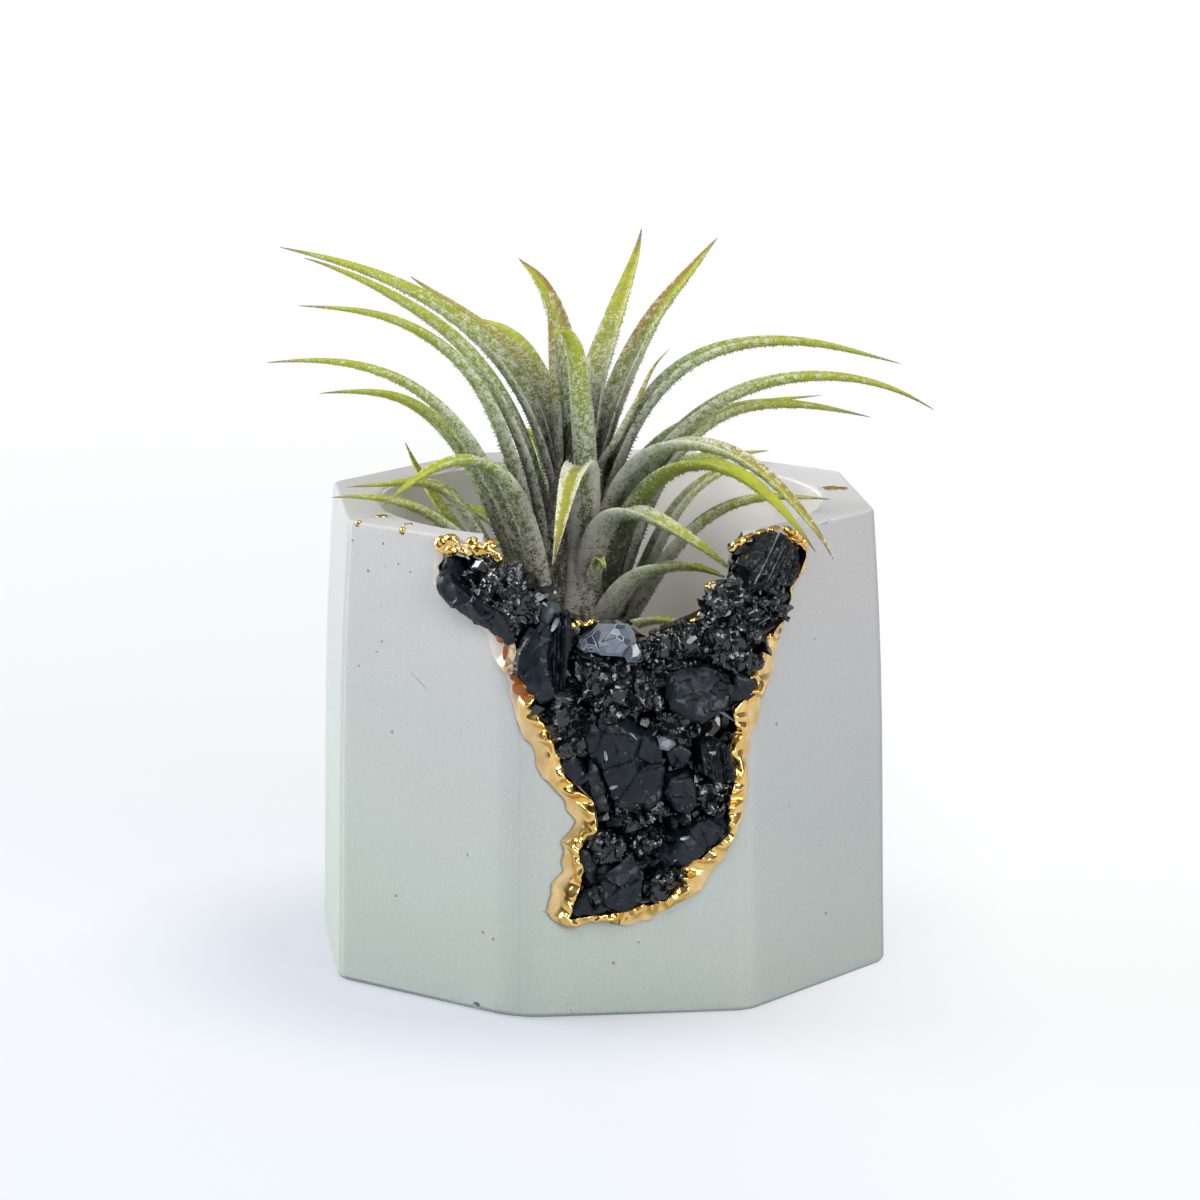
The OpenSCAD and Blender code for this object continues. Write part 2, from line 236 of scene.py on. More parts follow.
def wallY(x, z):  # front of the wall at a place across and up
    return max((flatAt(z) - x * math.cos(turn)) / math.sin(turn)
               for turn in map(sideTurn, range(8)) if math.sin(turn) < -0.5)


# How far each upright edge is rounded, from the back right edge round to the right
edgeRadius = [3, 3, 3, 3, 3.5, 10, 5, 3]
halfSide = math.radians(22.5)


def edgeMiddle(number, z):  # axis of an edge's rounding, and the way from it to the edge
    turn = sideTurn(number) + halfSide
    toward = Vector((math.cos(turn), math.sin(turn)))
    return toward * (flatAt(z) - edgeRadius[number]) / math.cos(halfSide), toward


def softenEdges(piece):  # draws a piece on the wall in where the upright edges are rounded
    for vertex in piece.data.vertices:
        place, z = vertex.co.xy / mm, vertex.co.z / mm
        number = round((math.degrees(math.atan2(place.y, place.x)) - pot["turn"] - 22.5) / 45) % 8
        middle, toward = edgeMiddle(number, z)
        spoke = place - middle
        bend = spoke.angle(toward, 9)
        if bend < halfSide:
            weight = easeBetween(0.4, 0.8, spoke.length / edgeRadius[number])
            vertex.co.xy = (middle + spoke * (1 - (1 - math.cos(halfSide - bend)) * weight)) * mm


def inBreak(place):
    return Vector((pot["breakX"] + place[0] * pot["breakWidth"],
                   pot["height"] + place[1] * pot["breakHeight"]))


# Outline of the crystals from the left arm, over the notch to the right arm, then back below
topEdge = [
    (-0.49, -0.08), (-0.47, -0.055), (-0.42, -0.04), (-0.37, -0.05), (-0.29, -0.06),
    (-0.22, -0.11), (-0.20, -0.145), (-0.15, -0.19), (-0.07, -0.21), (0, -0.205),
    (0.05, -0.24), (0.09, -0.26), (0.10, -0.23), (0.18, -0.205), (0.215, -0.19),
    (0.22, -0.13), (0.28, -0.125), (0.28, -0.08), (0.29, -0.04), (0.32, -0.004)]
lowEdge = [
    (0.42, -0.006), (0.47, -0.035), (0.49, -0.065), (0.48, -0.10), (0.445, -0.135),
    (0.45, -0.18), (0.425, -0.225), (0.375, -0.25), (0.35, -0.31), (0.335, -0.34),
    (0.35, -0.38), (0.29, -0.425), (0.30, -0.48), (0.28, -0.525), (0.30, -0.59),
    (0.28, -0.68), (0.28, -0.75), (0.21, -0.81), (0.15, -0.835), (0.16, -0.88),
    (0.11, -0.92), (0.05, -0.93), (-0.01, -0.945), (-0.14, -0.96), (-0.12, -0.905),
    (-0.10, -0.835), (-0.115, -0.78), (-0.065, -0.73), (-0.075, -0.66), (-0.15, -0.59),
    (-0.17, -0.52), (-0.19, -0.465), (-0.245, -0.405), (-0.225, -0.375), (-0.28, -0.29),
    (-0.29, -0.235), (-0.365, -0.175), (-0.43, -0.155), (-0.48, -0.12)]
topLine = [inBreak(p) for p in topEdge]
lowLine = [inBreak(p) for p in lowEdge]
crystalOutline = topLine + lowLine


def isInside(point, outline):
    inside = False
    for a, b in zip(outline, outline[1:] + outline[:1]):
        if (a.y > point.y) != (b.y > point.y):
            if point.x < a.x + (b.x - a.x) * (point.y - a.y) / (b.y - a.y):
                inside = not inside
    return inside


def distanceTo(point, line):
    nearest = 1e9
    for a, b in zip(line, line[1:]):
        along = b - a
        share = min(1, max(0, (point - a).dot(along) / along.length_squared))
        nearest = min(nearest, (point - a - along * share).length)
    return nearest


# Materials

def makeConcrete():
    # Cast concrete: matte, softly mottled, with fine sand and pinholes. Painted shade turns it greener and
    # darker towards the bottom and the left and darkens the pinholes; painted light pales the hollow and
    # lightens the rim top towards the right
    material, tree, shader, place = newMaterial("castConcrete", {"Roughness": 0.82, "IOR": 1.5})
    split = addNode(tree, "SeparateXYZ", {}, {"Vector": place})
    across, up = split.outputs["X"], split.outputs["Z"]
    # Painted shade and reflected light: the colour turns greener and darker towards the bottom and towards
    # the left
    height = addNode(tree, "MapRange", {"From Min": 0.004, "From Max": 0.062, "To Min": -0.17,
                     "To Max": 0.83}, {"Value": up})
    paintedShadeGradient = addNode(tree, "Math MULTIPLY_ADD", {1: 4.5}, {0: across, 2: height})
    cloud = addNode(tree, "TexNoise", {"Scale": 55, "Detail": 5, "Roughness": 0.55}, {"Vector": place})
    level = addNode(tree, "Math MULTIPLY_ADD", {1: 0.34}, {0: cloud, 2: paintedShadeGradient})
    tone = addNode(tree, "ValToRGB", {"stops": [
        (0, "aeb6ad"), (0.3, "b0b7b0"), (0.55, "b1b4b1"), (0.8, "b6b5b3"), (1, "b8b6b4")]}, {"Fac": level})
    sand = addNode(tree, "TexNoise", {"Scale": 2600, "Detail": 3, "Roughness": 0.7}, {"Vector": place})
    sandTone = addNode(tree, "ValToRGB", {"stops": [(0, "dadada"), (0.38, "f4f4f4"), (0.6, "ffffff")]},
                       {"Fac": sand})
    withSand = addNode(tree, "Mix", {"blend_type": "MULTIPLY", 0: 0.8}, {6: tone, 7: sandTone})
    pores = addNode(tree, "TexVoronoi", {"Scale": 420}, {"Vector": place})
    rare = addNode(tree, "TexNoise", {"Scale": 240, "Detail": 1}, {"Vector": place})
    poreMask = addNode(tree, "Math MULTIPLY", {}, {
        0: addNode(tree, "Math LESS_THAN", {1: 0.10}, {0: pores}),
        1: addNode(tree, "Math GREATER_THAN", {1: 0.64}, {0: rare})})
    # Painted shade: the pinholes are coloured dark, as the shade inside them
    withPoreShade = addNode(tree, "Mix", {7: "83857f"}, {0: poreMask, 6: withSand})
    hollow = addNode(tree, "VectorMath ADD", {1: (0, pot["hollowShift"] * mm, 0)}, {0: place})
    spoke = addNode(tree, "VectorMath MULTIPLY", {1: (1, 1, 0)}, {0: hollow})
    radius = addNode(tree, "VectorMath LENGTH", {}, {0: spoke})
    inside = addNode(tree, "Math LESS_THAN", {1: (pot["hollowWidth"] / 2 + 0.3) * mm}, {0: radius})
    # Painted light: the inside of the hollow is coloured paler than the wall, for light that reaches into it
    hollowPaintedLight = addNode(tree, "Mix", {7: "e6e5e2"}, {0: inside, 6: withPoreShade})
    # Painted light: the rim top gets a tone of its own, painted lighter from left to right as the light
    # falls on it
    top = addNode(tree, "Math GREATER_THAN", {1: (pot["height"] - 0.15) * mm}, {0: up})
    rimLightAcross = addNode(tree, "MapRange", {"From Min": -0.035, "From Max": 0.03}, {"Value": across})
    rimPaintedLight = addNode(tree, "ValToRGB", {"stops": [(0, "b0b0b0"), (1, "cccccc")]}, {"Fac": rimLightAcross})
    withRimLight = addNode(tree, "Mix", {}, {0: top, 6: hollowPaintedLight, 7: rimPaintedLight})
    grain = addNode(tree, "Bump", {"Strength": 0.25, "Distance": 0.00006}, {"Height": sand})
    holes = addNode(tree, "Bump", {"Strength": 0.7, "Distance": 0.0002, "invert": True},
                    {"Height": poreMask, "Normal": grain})
    linkTo(shader, {"Base Color": withRimLight, "Normal": holes})
    return material


def makeTourmaline(name, shine):
    # Black tourmaline, broken by hand: glossy near-black splinters that each catch the light at
    # their own angle, a few pale flecks, pale painted glints on some splinters, and duller blue-grey skin on
    # the outside of the lumps
    material, tree, shader, place = newMaterial(name, {"IOR": 1.64, "Specular IOR Level": shine})
    skin, pale = (addNode(tree, "Attribute", {"attribute_name": field}).outputs["Fac"]
                  for field in ("skin", "pale"))
    cloud = addNode(tree, "TexNoise", {"Scale": 600, "Detail": 6, "Roughness": 0.7}, {"Vector": place})
    splinters = addNode(tree, "TexVoronoi", {"Scale": 1150}, {"Vector": place}).outputs["Color"]
    chance = addNode(tree, "SeparateColor", {}, {"Color": splinters})
    inside = addNode(tree, "ValToRGB", {"stops": [
        (0, "010101"), (0.7, "030405"), (0.9, "080b0e"), (1, "1c252b")]}, {"Fac": chance})
    outside = addNode(tree, "ValToRGB", {"stops": [
        (0.3, "05090d"), (0.47, "0e161d"), (0.6, "172129"), (0.8, "2b3742")]}, {"Fac": cloud})
    body = addNode(tree, "Mix", {}, {0: skin, 6: inside, 7: outside})
    # Pale colour: a few pale flecks of the stone's own, and painted glints on the listed splinters
    flecked = addNode(tree, "Mix", {7: "9fadb3"}, {0: pale, 6: body})
    rough = addNode(tree, "MapRange", {"To Min": 0.06, "To Max": 0.36}, {"Value": skin})
    tilt = addNode(tree, "VectorMath SUBTRACT", {1: (0.5, 0.5, 0.5)}, {0: splinters})
    strength = addNode(tree, "MapRange", {"To Min": 0.55, "To Max": 0.09}, {"Value": skin})
    scaled = addNode(tree, "VectorMath SCALE", {}, {0: tilt, "Scale": strength})
    surface = addNode(tree, "NewGeometry").outputs["Normal"]
    tilted = addNode(tree, "VectorMath ADD", {}, {0: surface, 1: scaled})
    facing = addNode(tree, "VectorMath NORMALIZE", {}, {0: tilted})
    waves = addNode(tree, "Bump", {"Strength": 0.4, "Distance": 0.0002}, {"Height": cloud, "Normal": facing})
    linkTo(shader, {"Base Color": flecked, "Roughness": rough, "Normal": waves})
    return material


def makeQuartz():
    # Smoky blue-grey quartz: cloudy and glass-like; each facet is painted lighter or darker as if lit from
    # its own angle, and the narrow edges between facets are painted pale as highlights
    material, tree, shader, place = newMaterial("smokyQuartz", {
        "IOR": 1.544, "Roughness": 0.1, "Transmission Weight": 0.15})
    cloud = addNode(tree, "TexNoise", {"Scale": 420, "Detail": 5, "Roughness": 0.6}, {"Vector": place})
    facet = addNode(tree, "Attribute", {"attribute_name": "facet"}).outputs["Fac"]
    level = addNode(tree, "Math MULTIPLY_ADD", {1: 0.6}, {0: cloud, 2: facet})
    tone = addNode(tree, "ValToRGB", {"stops": [
        (0.25, "333b47"), (0.5, "5f6974"), (0.8, "8a949f"), (1, "c3cad0")]}, {"Fac": level})
    bump = addNode(tree, "Bump", {"Strength": 0.15, "Distance": 0.0002}, {"Height": cloud})
    linkTo(shader, {"Base Color": tone, "Normal": bump})
    return material


def makeGold():
    # Gold over resin: a bright crinkled bead where it pooled, brushed out to a thin satin film
    # that turns creamy, and almost clear on the upper left
    material, tree, shader, place = newMaterial("goldOverResin", {})
    film, faded = (addNode(tree, "Attribute", {"attribute_name": field}).outputs["Fac"]
                   for field in ("film", "faded"))
    cloud = addNode(tree, "TexNoise", {"Scale": 420, "Detail": 4, "Roughness": 0.6}, {"Vector": place})
    bead, thin = (addNode(tree, "ValToRGB", {"stops": [(0.3, low), (0.7, high)]}, {"Fac": cloud})
                  for low, high in (("d4a44a", "f2d18b"), ("cba96c", "e0c695")))
    brushed = addNode(tree, "Mix", {}, {0: film, 6: bead, 7: thin})
    washed = addNode(tree, "Mix", {7: "c2bdb8"}, {0: faded, 6: brushed})
    thick = addNode(tree, "MapRange", {"To Min": 1, "To Max": 0.62}, {"Value": film})
    metal = addNode(tree, "MapRange", {"To Max": 0.1}, {"Value": faded, "To Min": thick})
    rough = addNode(tree, "MapRange", {"To Min": 0.15, "To Max": 0.36}, {"Value": film})
    bump = addNode(tree, "Bump", {"Strength": 0.2, "Distance": 0.00025}, {"Height": cloud})
    linkTo(shader, {"Base Color": washed, "Metallic": metal, "Roughness": rough, "Normal": bump})
    return material


def makeResin(name, low, high, clear):
    # Clear casting resin, tinted: wet gloss, glows where light gets through
    material, tree, shader, place = newMaterial(name, {
        "IOR": 1.55, "Roughness": 0.07, "Transmission Weight": clear})
    cloud = addNode(tree, "TexNoise", {"Scale": 160, "Detail": 3}, {"Vector": place})
    tone = addNode(tree, "ValToRGB", {"stops": [(0.35, low), (0.65, high)]}, {"Fac": cloud})
    linkTo(shader, {"Base Color": tone})
    return material


def makeLeafSkin():
    # Air plant leaf: green skin under a frost of silver scales, thick at the base, thin towards
    # the olive middle, with a dark dry tip. Read along and across the leaf from its attributes
    material, tree, shader, place = newMaterial("leafSkin", {
        "Roughness": 0.55, "IOR": 1.42, "Sheen Weight": 0.12, "Sheen Roughness": 0.5,
        "Sheen Tint": "e9efe0", "Subsurface Weight": 0.08, "Subsurface Scale": 0.002,
        "Subsurface Radius": (0.6, 0.9, 0.3)})
    along, blush, frost = (addNode(tree, "Attribute", {"attribute_name": field}).outputs["Fac"]
                           for field in ("along", "blush", "frost"))
    tone = addNode(tree, "ValToRGB", {"stops": [
        (0, "33362a"), (0.15, "4f582d"), (0.4, "84901d"), (0.7, "a9b02a"), (0.9, "aaae36"),
        (0.96, "93804f"), (1, "5a4547")]}, {"Fac": along})
    mottle = addNode(tree, "TexNoise", {"Scale": 520, "Detail": 4, "Roughness": 0.65}, {"Vector": place})
    mottleTone = addNode(tree, "ValToRGB", {"stops": [
        (0.32, "a3aa94"), (0.5, "f4f6ea"), (0.75, "fff3cc")]}, {"Fac": mottle})
    blushed = addNode(tree, "Mix", {7: "96703c"}, {0: blush, 6: tone})
    scales = addNode(tree, "TexVoronoi", {"Scale": 3600}, {"Vector": place})
    fleck = addNode(tree, "TexNoise", {"Scale": 1200, "Detail": 3, "Roughness": 0.75}, {"Vector": place})
    bare = addNode(tree, "Math SUBTRACT", {}, {0: frost, 1: scales})
    frosty = addNode(tree, "Math MULTIPLY_ADD", {1: 2.8}, {0: fleck, 2: bare})
    frostMask = addNode(tree, "MapRange", {"From Min": 1.32, "From Max": 2.02, "To Max": 0.95},
                        {"Value": frosty})
    frostTone = addNode(tree, "ValToRGB", {"stops": [
        (0, "8e8b85"), (0.2, "b5b6ae"), (0.5, "d3d8c6"), (1, "e6eacf")]}, {"Fac": along})
    frosted = addNode(tree, "Mix", {}, {0: frostMask, 6: blushed, 7: frostTone})
    mottled = addNode(tree, "Mix", {"blend_type": "MULTIPLY", 0: 0.35}, {6: frosted, 7: mottleTone})
    scaleBump = addNode(tree, "Bump", {"Strength": 0.5, "Distance": 0.00012}, {"Height": scales})
    fleckBump = addNode(tree, "Bump", {"Strength": 0.5, "Distance": 0.00015},
                        {"Height": fleck, "Normal": scaleBump})
    linkTo(shader, {"Base Color": mottled, "Normal": fleckBump})
    return material


concrete = makeConcrete()
tourmaline = makeTourmaline("brokenTourmaline", 0.5)
tourmalineSkin = makeTourmaline("tourmalineSkin", 0.2)
quartz = makeQuartz()
goldLeaf = makeGold()
resinDark = makeResin("darkResin", "140d07", "2b1a0c", 0.1)
amber = makeResin("amberResin", "6e2f04", "b8690f", 0.15)
leafSkin = makeLeafSkin()


# Air plant

leafLook = {
    "width": 3.9, "reach": 50, "rimHalf": 36, "hangShare": 0.51, "height": 80, "seat": 0.7,
    "crownRadius": 6.4, "place": (-3, -6, 22.4),
    "rowsAlong": 150, "rowsAcross": 12, "sheathShare": 0.2, "sheathLength": 11,
    "length": 12, "channel": 0.24, "sink": 0.05, "thickness": 0.23, "edgeThickness": 0.18,
    "hairShare": 0.24, "hairFoot": 0.03, "hairHeight": 0.105, "wobble": 0.5, "ripple": 0.05,
    "frost": 0.7, "marginFrost": 0.3, "underFrost": 0.05, "hairFrost": 0.5, "edgeBlush": 0.8,
    "underside": 0.08, "clasp": (-0.06, 0.14), "claspLift": 0.45, "lowest": 1.2, "tightest": 3.2,
    "sheathSink": 0.8,
}
crownLook = {"ridges": 13, "twist": 900, "ridge": 0.03, "grain": 0.06, "inset": 0.06, "frost": 0.6}
crownProfile = [(0, 0.34), (0.02, 0.45), (0.10, 0.60), (0.22, 0.87), (0.30, 1), (0.36, 0.91),
                (0.42, 0.72), (0.50, 0.51), (0.58, 0.35), (0.66, 0.13)]
# Half as wide again where the leaf clasps the crown, then an even taper to a dry point
leafTaper = [(-0.2, 1.75), (-0.1, 1.35), (0, 1.1), (0.12, 1.03), (0.3, 0.98), (0.45, 0.88),
             (0.6, 0.74), (0.75, 0.55), (0.86, 0.36), (0.94, 0.19), (1, 0.035)]
# Turn and gained turn, foot, rise angle and length, reach, tip height, end angle and length,
# width; then how far it blushes red, and how frosted it is
leafRows = [
    (159, 0, 0.55, 80, 0.44, 0.89, 0.935, 8, 0.35, 1.0, 0, 0),
    (172, 0, 0.46, 84, 0.46, 0.76, 0.93, 12, 0.35, 1.0, 0, 0),
    (129, 0, 0.565, 82, 0.42, 0.76, 0.86, 22, 0.35, 0.9, 0.5, 0),
    (187, 0, 0.40, 82, 0.62, 0.76, 0.87, 3, 0.38, 1.0, 0, 0),
    (117, 0, 0.48, 80, 0.55, 0.66, 0.785, -5, 0.35, 1.1, 0, 0),
    (194, 0, 0.37, 74, 0.56, 0.86, 0.785, -3, 0.40, 1.0, 0, 0),
    (174, 0, 0.345, 70, 0.62, 0.715, 0.705, -5, 0.40, 1.0, 0, 0),
    (124, 0, 0.605, 92, 0.64, 0.29, 0.925, 25, 0.30, 0.9, 0.35, 0),
    (186, 0, 0.60, 89, 0.40, 0.085, 0.895, 86, 0.35, 0.6, 0.75, 0),
    (-70, -40, 0.50, 84, 0.65, 0.22, 0.82, -38, 0.30, 0.8, 0, 0),
    (58, 0, 0.62, 89, 0.40, 0.33, 0.97, 70, 0.40, 1.0, 0.15, 0),
    (35, 0, 0.58, 76, 0.45, 0.47, 0.955, 40, 0.30, 1.0, 0.45, 0),
    (50, 0, 0.55, 78, 0.35, 0.40, 0.86, 50, 0.35, 0.9, 0, 0.05),
    (-8, 0, 0.59, 48, 0.30, 0.25, 0.79, 50, 0.35, 0.5, 0.6, 0.1),
    (12, 0, 0.52, 76, 0.60, 0.91, 0.745, -18, 0.40, 1.0, 0, 0),
    (-4, 0, 0.465, 70, 0.50, 0.97, 0.69, -31, 0.38, 1.0, 0.1, 0),
    (28, 0, 0.46, 72, 0.50, 0.77, 0.67, 4, 0.40, 0.7, 0, 0),
    (10, 0, 0.38, 76, 0.70, 0.82, 0.655, -14, 0.40, 1.0, 0.1, 0),
    (-35, 0, 0.47, 76, 0.60, 1.153, 0.48, -56, 0.50, 1.0, 0.4, 0.05),
    (-42, 0, 0.40, 74, 0.62, 1.174, 0.505, -46, 0.50, 1.0, 0, -0.45),
    (10, 0, 0.33, 66, 0.52, 0.50, 0.57, -10, 0.35, 1.0, 0, 0.3),
    (-12, 0, 0.31, 65, 0.52, 0.70, 0.545, -3, 0.45, 1.0, 0, 0.15),
    (-74, 36, 0.40, 80, 0.78, 0.75, 0.43, -54, 0.50, 1.0, 0, 0.18),
    (-56, 32, 0.33, 66, 0.62, 0.625, 0.41, -28, 0.40, 1.0, 0, 0.3),
    (-70, 26, 0.26, 50, 0.45, 0.597, 0.345, -15, 0.40, 0.9, 0, 0.2),
    (-78, -22, 0.45, 88, 1.10, 0.556, 0.46, -84, 1.10, 1.1, 0.3, -0.1),
    (-72, 0, 0.38, 72, 0.50, 0.333, 0.43, -66, 0.60, 0.5, 0, 0.1),
    (218, -12, 0.36, 82, 0.92, 0.585, 0.545, -40, 0.50, 1.0, 0, 0.05),
    (195, 0, 0.32, 58, 0.52, 0.69, 0.55, -2, 0.35, 0.9, 0, 0.1),
    (178, 0, 0.26, 70, 0.85, 0.635, 0.545, -6, 0.40, 0.9, 0, 0.1),
    (150, 0, 0.32, 30, 0.40, 0.56, 0.595, 62, 0.30, 0.8, 0, 0.1),
    (53, 0, 0.42, 55, 0.42, 0.90, 0.53, -5, 0.35, 0.9, 0, 0.05),
    (85, 0, 0.46, 70, 0.50, 0.74, 0.62, -15, 0.35, 1.0, 0, 0),
    (104, 0, 0.40, 62, 0.50, 0.66, 0.58, -10, 0.35, 1.0, 0, 0),
    (70, 0, 0.36, 55, 0.45, 0.833, 0.50, -10, 0.35, 1.0, 0, 0),
    (140, 0, 0.36, 60, 0.45, 0.694, 0.48, -8, 0.35, 0.9, 0, 0)]
# Leaves that blush along one edge only
redEdge = {8: -1, 12: 1, 19: 1}
# Leaves folded to a channel, grey outside and bare within
greyMargin = {26: 0.8, 23: 0.25, 19: 0.25}


def crownRadiusAt(share):
    return leafLook["crownRadius"] * readTable(crownProfile, share)


def channelAt(x):  # how far a blade rises from its middle to its margins
    return leafLook["channel"] * abs(2 * x) ** 2.2


def makeLeafPattern():
    # One straight blade, a unit wide: x runs across it and y from its sheath to its tip
    look = leafLook
    blade = newPrimitive("grid", x_subdivisions=look["rowsAcross"], y_subdivisions=look["rowsAlong"], size=1)
    setMode("EDIT")
    tools.transform.resize(value=(1, (1 + look["sheathShare"]) * look["length"], 1),
                           center_override=(0, 0, 0))
    tools.transform.translate(value=(0, (1 - look["sheathShare"]) / 2 * look["length"], 0))
    for column in range(look["rowsAcross"] + 1):
        x = column / look["rowsAcross"] - 0.5
        selectVerts(blade, lambda co: abs(co.x - x) < 0.01)
        tools.transform.translate(value=(0, 0, channelAt(x) - look["sink"]))
    setMode("OBJECT")
    flesh = blade.vertex_groups.new(name="flesh")
    for vertex in blade.data.vertices:
        flesh.add([vertex.index], 1 - abs(2 * vertex.co.x) ** 2.5, "REPLACE")
    applyModifier(blade, "SOLIDIFY", thickness=look["thickness"], offset=-1, vertex_group="flesh",
                  thickness_vertex_group=look["edgeThickness"], use_rim=True)
    # Hairs: about one face in four drawn up into a fine point
    setMode("EDIT")
    tools.mesh.select_mode(type="FACE")
    tools.mesh.select_all(action="DESELECT")
    tools.mesh.select_random(ratio=look["hairShare"], seed=4)
    tools.mesh.inset(thickness=look["hairFoot"], use_individual=True)
    setMode("OBJECT")
    skinCount = len(blade.data.vertices)
    setMode("EDIT")
    tools.mesh.poke(offset=look["hairHeight"])
    setMode("OBJECT")
    return blade, skinCount


def wayAt(degrees):
    return Vector((math.cos(math.radians(degrees)), math.sin(math.radians(degrees))))


def leafPoint(row, x, t, z, wobble):
    # A place on the leaf in millimetres, from its place on the pattern
    turn0, gain, foot, rise, riseLength, reach, tipHeight, end, endLength, wide = row[:10]
    look = leafLook
    w = look["width"] * wide * readTable(leafTaper, t)
    start = Vector((crownRadiusAt(foot) + look["seat"], foot * look["height"]))
    tip = Vector((reach * (look["rimHalf"] if tipHeight < look["hangShare"] else look["reach"]),
                  tipHeight * look["height"]))
    span = (tip - start).length
    a = start + wayAt(rise) * riseLength * span
    b = tip - wayAt(end) * endLength * span
    s = max(0, t)
    u = 1 - s
    at = u ** 3 * start + 3 * u * u * s * a + 3 * u * s * s * b + s ** 3 * tip
    way = (u * u * (a - start) + 2 * u * s * (b - a) + s * s * (tip - b)).normalized()
    turn = math.radians(turn0 + gain * s)
    side = x * w + wobble.x * s
    lift = z * w + wobble.y * s
    out = at.x - lift * way.y
    free = Vector((out * math.cos(turn) - side * math.sin(turn),
                   out * math.sin(turn) + side * math.cos(turn), at.y + lift * way.x))
    clasp = 1 - easeBetween(*look["clasp"], t)
    if clasp == 0:
        return free
    # The sheath lies on the crown and wraps round it
    drop = max(0, -t) / look["sheathShare"]
    height = max(look["lowest"], at.y - drop * look["sheathLength"])
    radius = crownRadiusAt(height / look["height"]) + look["seat"] * (1 - look["sheathSink"] * drop)
    if t > 0:
        radius, height = at.x, at.y
    angle = turn + x * w / max(look["tightest"], radius)
    radius -= lift * mixOf(1, look["claspLift"], clasp)
    return free.lerp(Vector((radius * math.cos(angle), radius * math.sin(angle), height)), clasp)


def makeLeaf(number, row, pattern, skinCount):
    look = leafLook
    piece = copyOf(pattern, "leafBlade%02d" % number)
    seed = Vector((random.Random(100 + number).uniform(0, 50), 0, 0))
    fields = addFields(piece, "along", "blush", "frost")
    for vertex in piece.data.vertices:
        x, along, z = vertex.co
        t = along / look["length"]
        wobble = Vector([noise.noise(seed + Vector((t * 3, lane, 0))) for lane in (0, 9)])
        ripple = 1 + look["ripple"] * noise.noise(seed + Vector((t * 9, 5, 0)))
        share, margin = min(1, max(0, t)), min(1, abs(2 * x))
        blush = row[10] * easeBetween(0.15, 0.6, share)
        if number in redEdge:
            blush = (look["edgeBlush"] * easeBetween(0.05, 0.35, x * redEdge[number])
                     * easeBetween(0.2, 0.5, share))
        frost = (look["frost"] * (1 - easeBetween(0.22, 1, share)) + look["marginFrost"] * margin ** 6
                 + row[11])
        if z < channelAt(margin / 2) - look["underside"]:  # the underside
            frost += look["underFrost"]
        if vertex.index >= skinCount:
            frost += look["hairFrost"]
        if number in greyMargin:
            frost += greyMargin[number] * easeBetween(0.3, 0.6, margin)
        for field, value in zip(fields, (share, min(1, blush), frost)):
            field[vertex.index].value = value
        vertex.co = (leafPoint(row, x * ripple, t, z, wobble * look["wobble"])
                     + Vector(look["place"])) * mm
    piece.data.update()
    shadeSmooth(piece)
    finishPiece(piece, leafSkin, "plant", "leaf", "leaf_%02d" % number)


pattern, skinCount = makeLeafPattern()
for number, row in enumerate(leafRows, 1):
    makeLeaf(number, row, pattern, skinCount)
bpy.data.objects.remove(pattern)
print("leaves laid on their curves:", len(leafRows))


def makeCrown():
    # The heart that the sheaths clasp: a circle drawn up level by level, then ridged
    look = crownLook
    place = Vector(leafLook["place"])
    middle = Vector((place.x, place.y, 0)) * mm
    levels = [((place.z + share * leafLook["height"]) * mm, ratio * leafLook["crownRadius"] * mm)
              for share, ratio in crownProfile]
    low, radius = levels[0]
    crown = newPrimitive("circle", vertices=64, radius=radius, fill_type="TRIFAN",
                         location=middle + Vector((0, 0, low)))
    setMode("EDIT")
    tools.mesh.select_all(action="SELECT")
    tools.mesh.flip_normals()
    setMode("OBJECT")
    tools.object.transform_apply()
    selectVerts(crown, lambda co: (co.xy - middle.xy).length > 0.5 * radius)
    for height, wide in levels[1:]:
        tools.mesh.extrude_region_move(TRANSFORM_OT_translate={"value": (0, 0, height - low)})
        tools.transform.resize(value=(wide / radius, wide / radius, 1), center_override=middle)
        low, radius = height, wide
    tools.mesh.fill()
    tools.mesh.select_all(action="SELECT")
    tools.mesh.subdivide(number_cuts=3)
    setMode("OBJECT")
    along, frost = addFields(crown, "along", "frost")
    for vertex in crown.data.vertices:
        spoke = vertex.co - middle
        wave = math.cos(math.atan2(spoke.y, spoke.x) * look["ridges"] + spoke.z * look["twist"])
        depth = look["inset"] + look["ridge"] * wave + look["grain"] * noise.noise(vertex.co * 700)
        vertex.co.xy -= spoke.xy * depth
        along[vertex.index].value, frost[vertex.index].value = 0.02, look["frost"]
    shadeSmooth(crown)
    crown.name = "crownHeart"
    finishPiece(crown, leafSkin, "plant", "crown", "plant_crown")


makeCrown()
print("crown made")


# Pot

def copyNode(node, name):  # a CAD node as a mesh of its own, its loose triangles merged
    piece = bpy.data.objects.new(name, frame["nodes"][node].data.copy())
    bpy.context.scene.collection.objects.link(piece)
    onlySelect(piece)
    setMode("EDIT")
    tools.mesh.select_all(action="SELECT")
    tools.mesh.remove_doubles(threshold=1e-6)
    setMode("OBJECT")
    return piece


def cutAll(place, way, **settings):
    tools.mesh.select_all(action="SELECT")
    tools.mesh.bisect(plane_co=place, plane_no=way, **settings)


concreteLook = {
    "pits": 60, "smallest": 0.1, "largest": 0.34, "seed": 5, "lumpy": 0.16,
    "pitSides": (4, 5, 5, 5, 6, 6, 6, 7, 0, 1, 2, 3),  # more on the left faces
    "grid": 4.1, "gridReach": 42, "foot": 0.6, "footTuck": 0.014,
}
frontSides = (5, 6, 7)
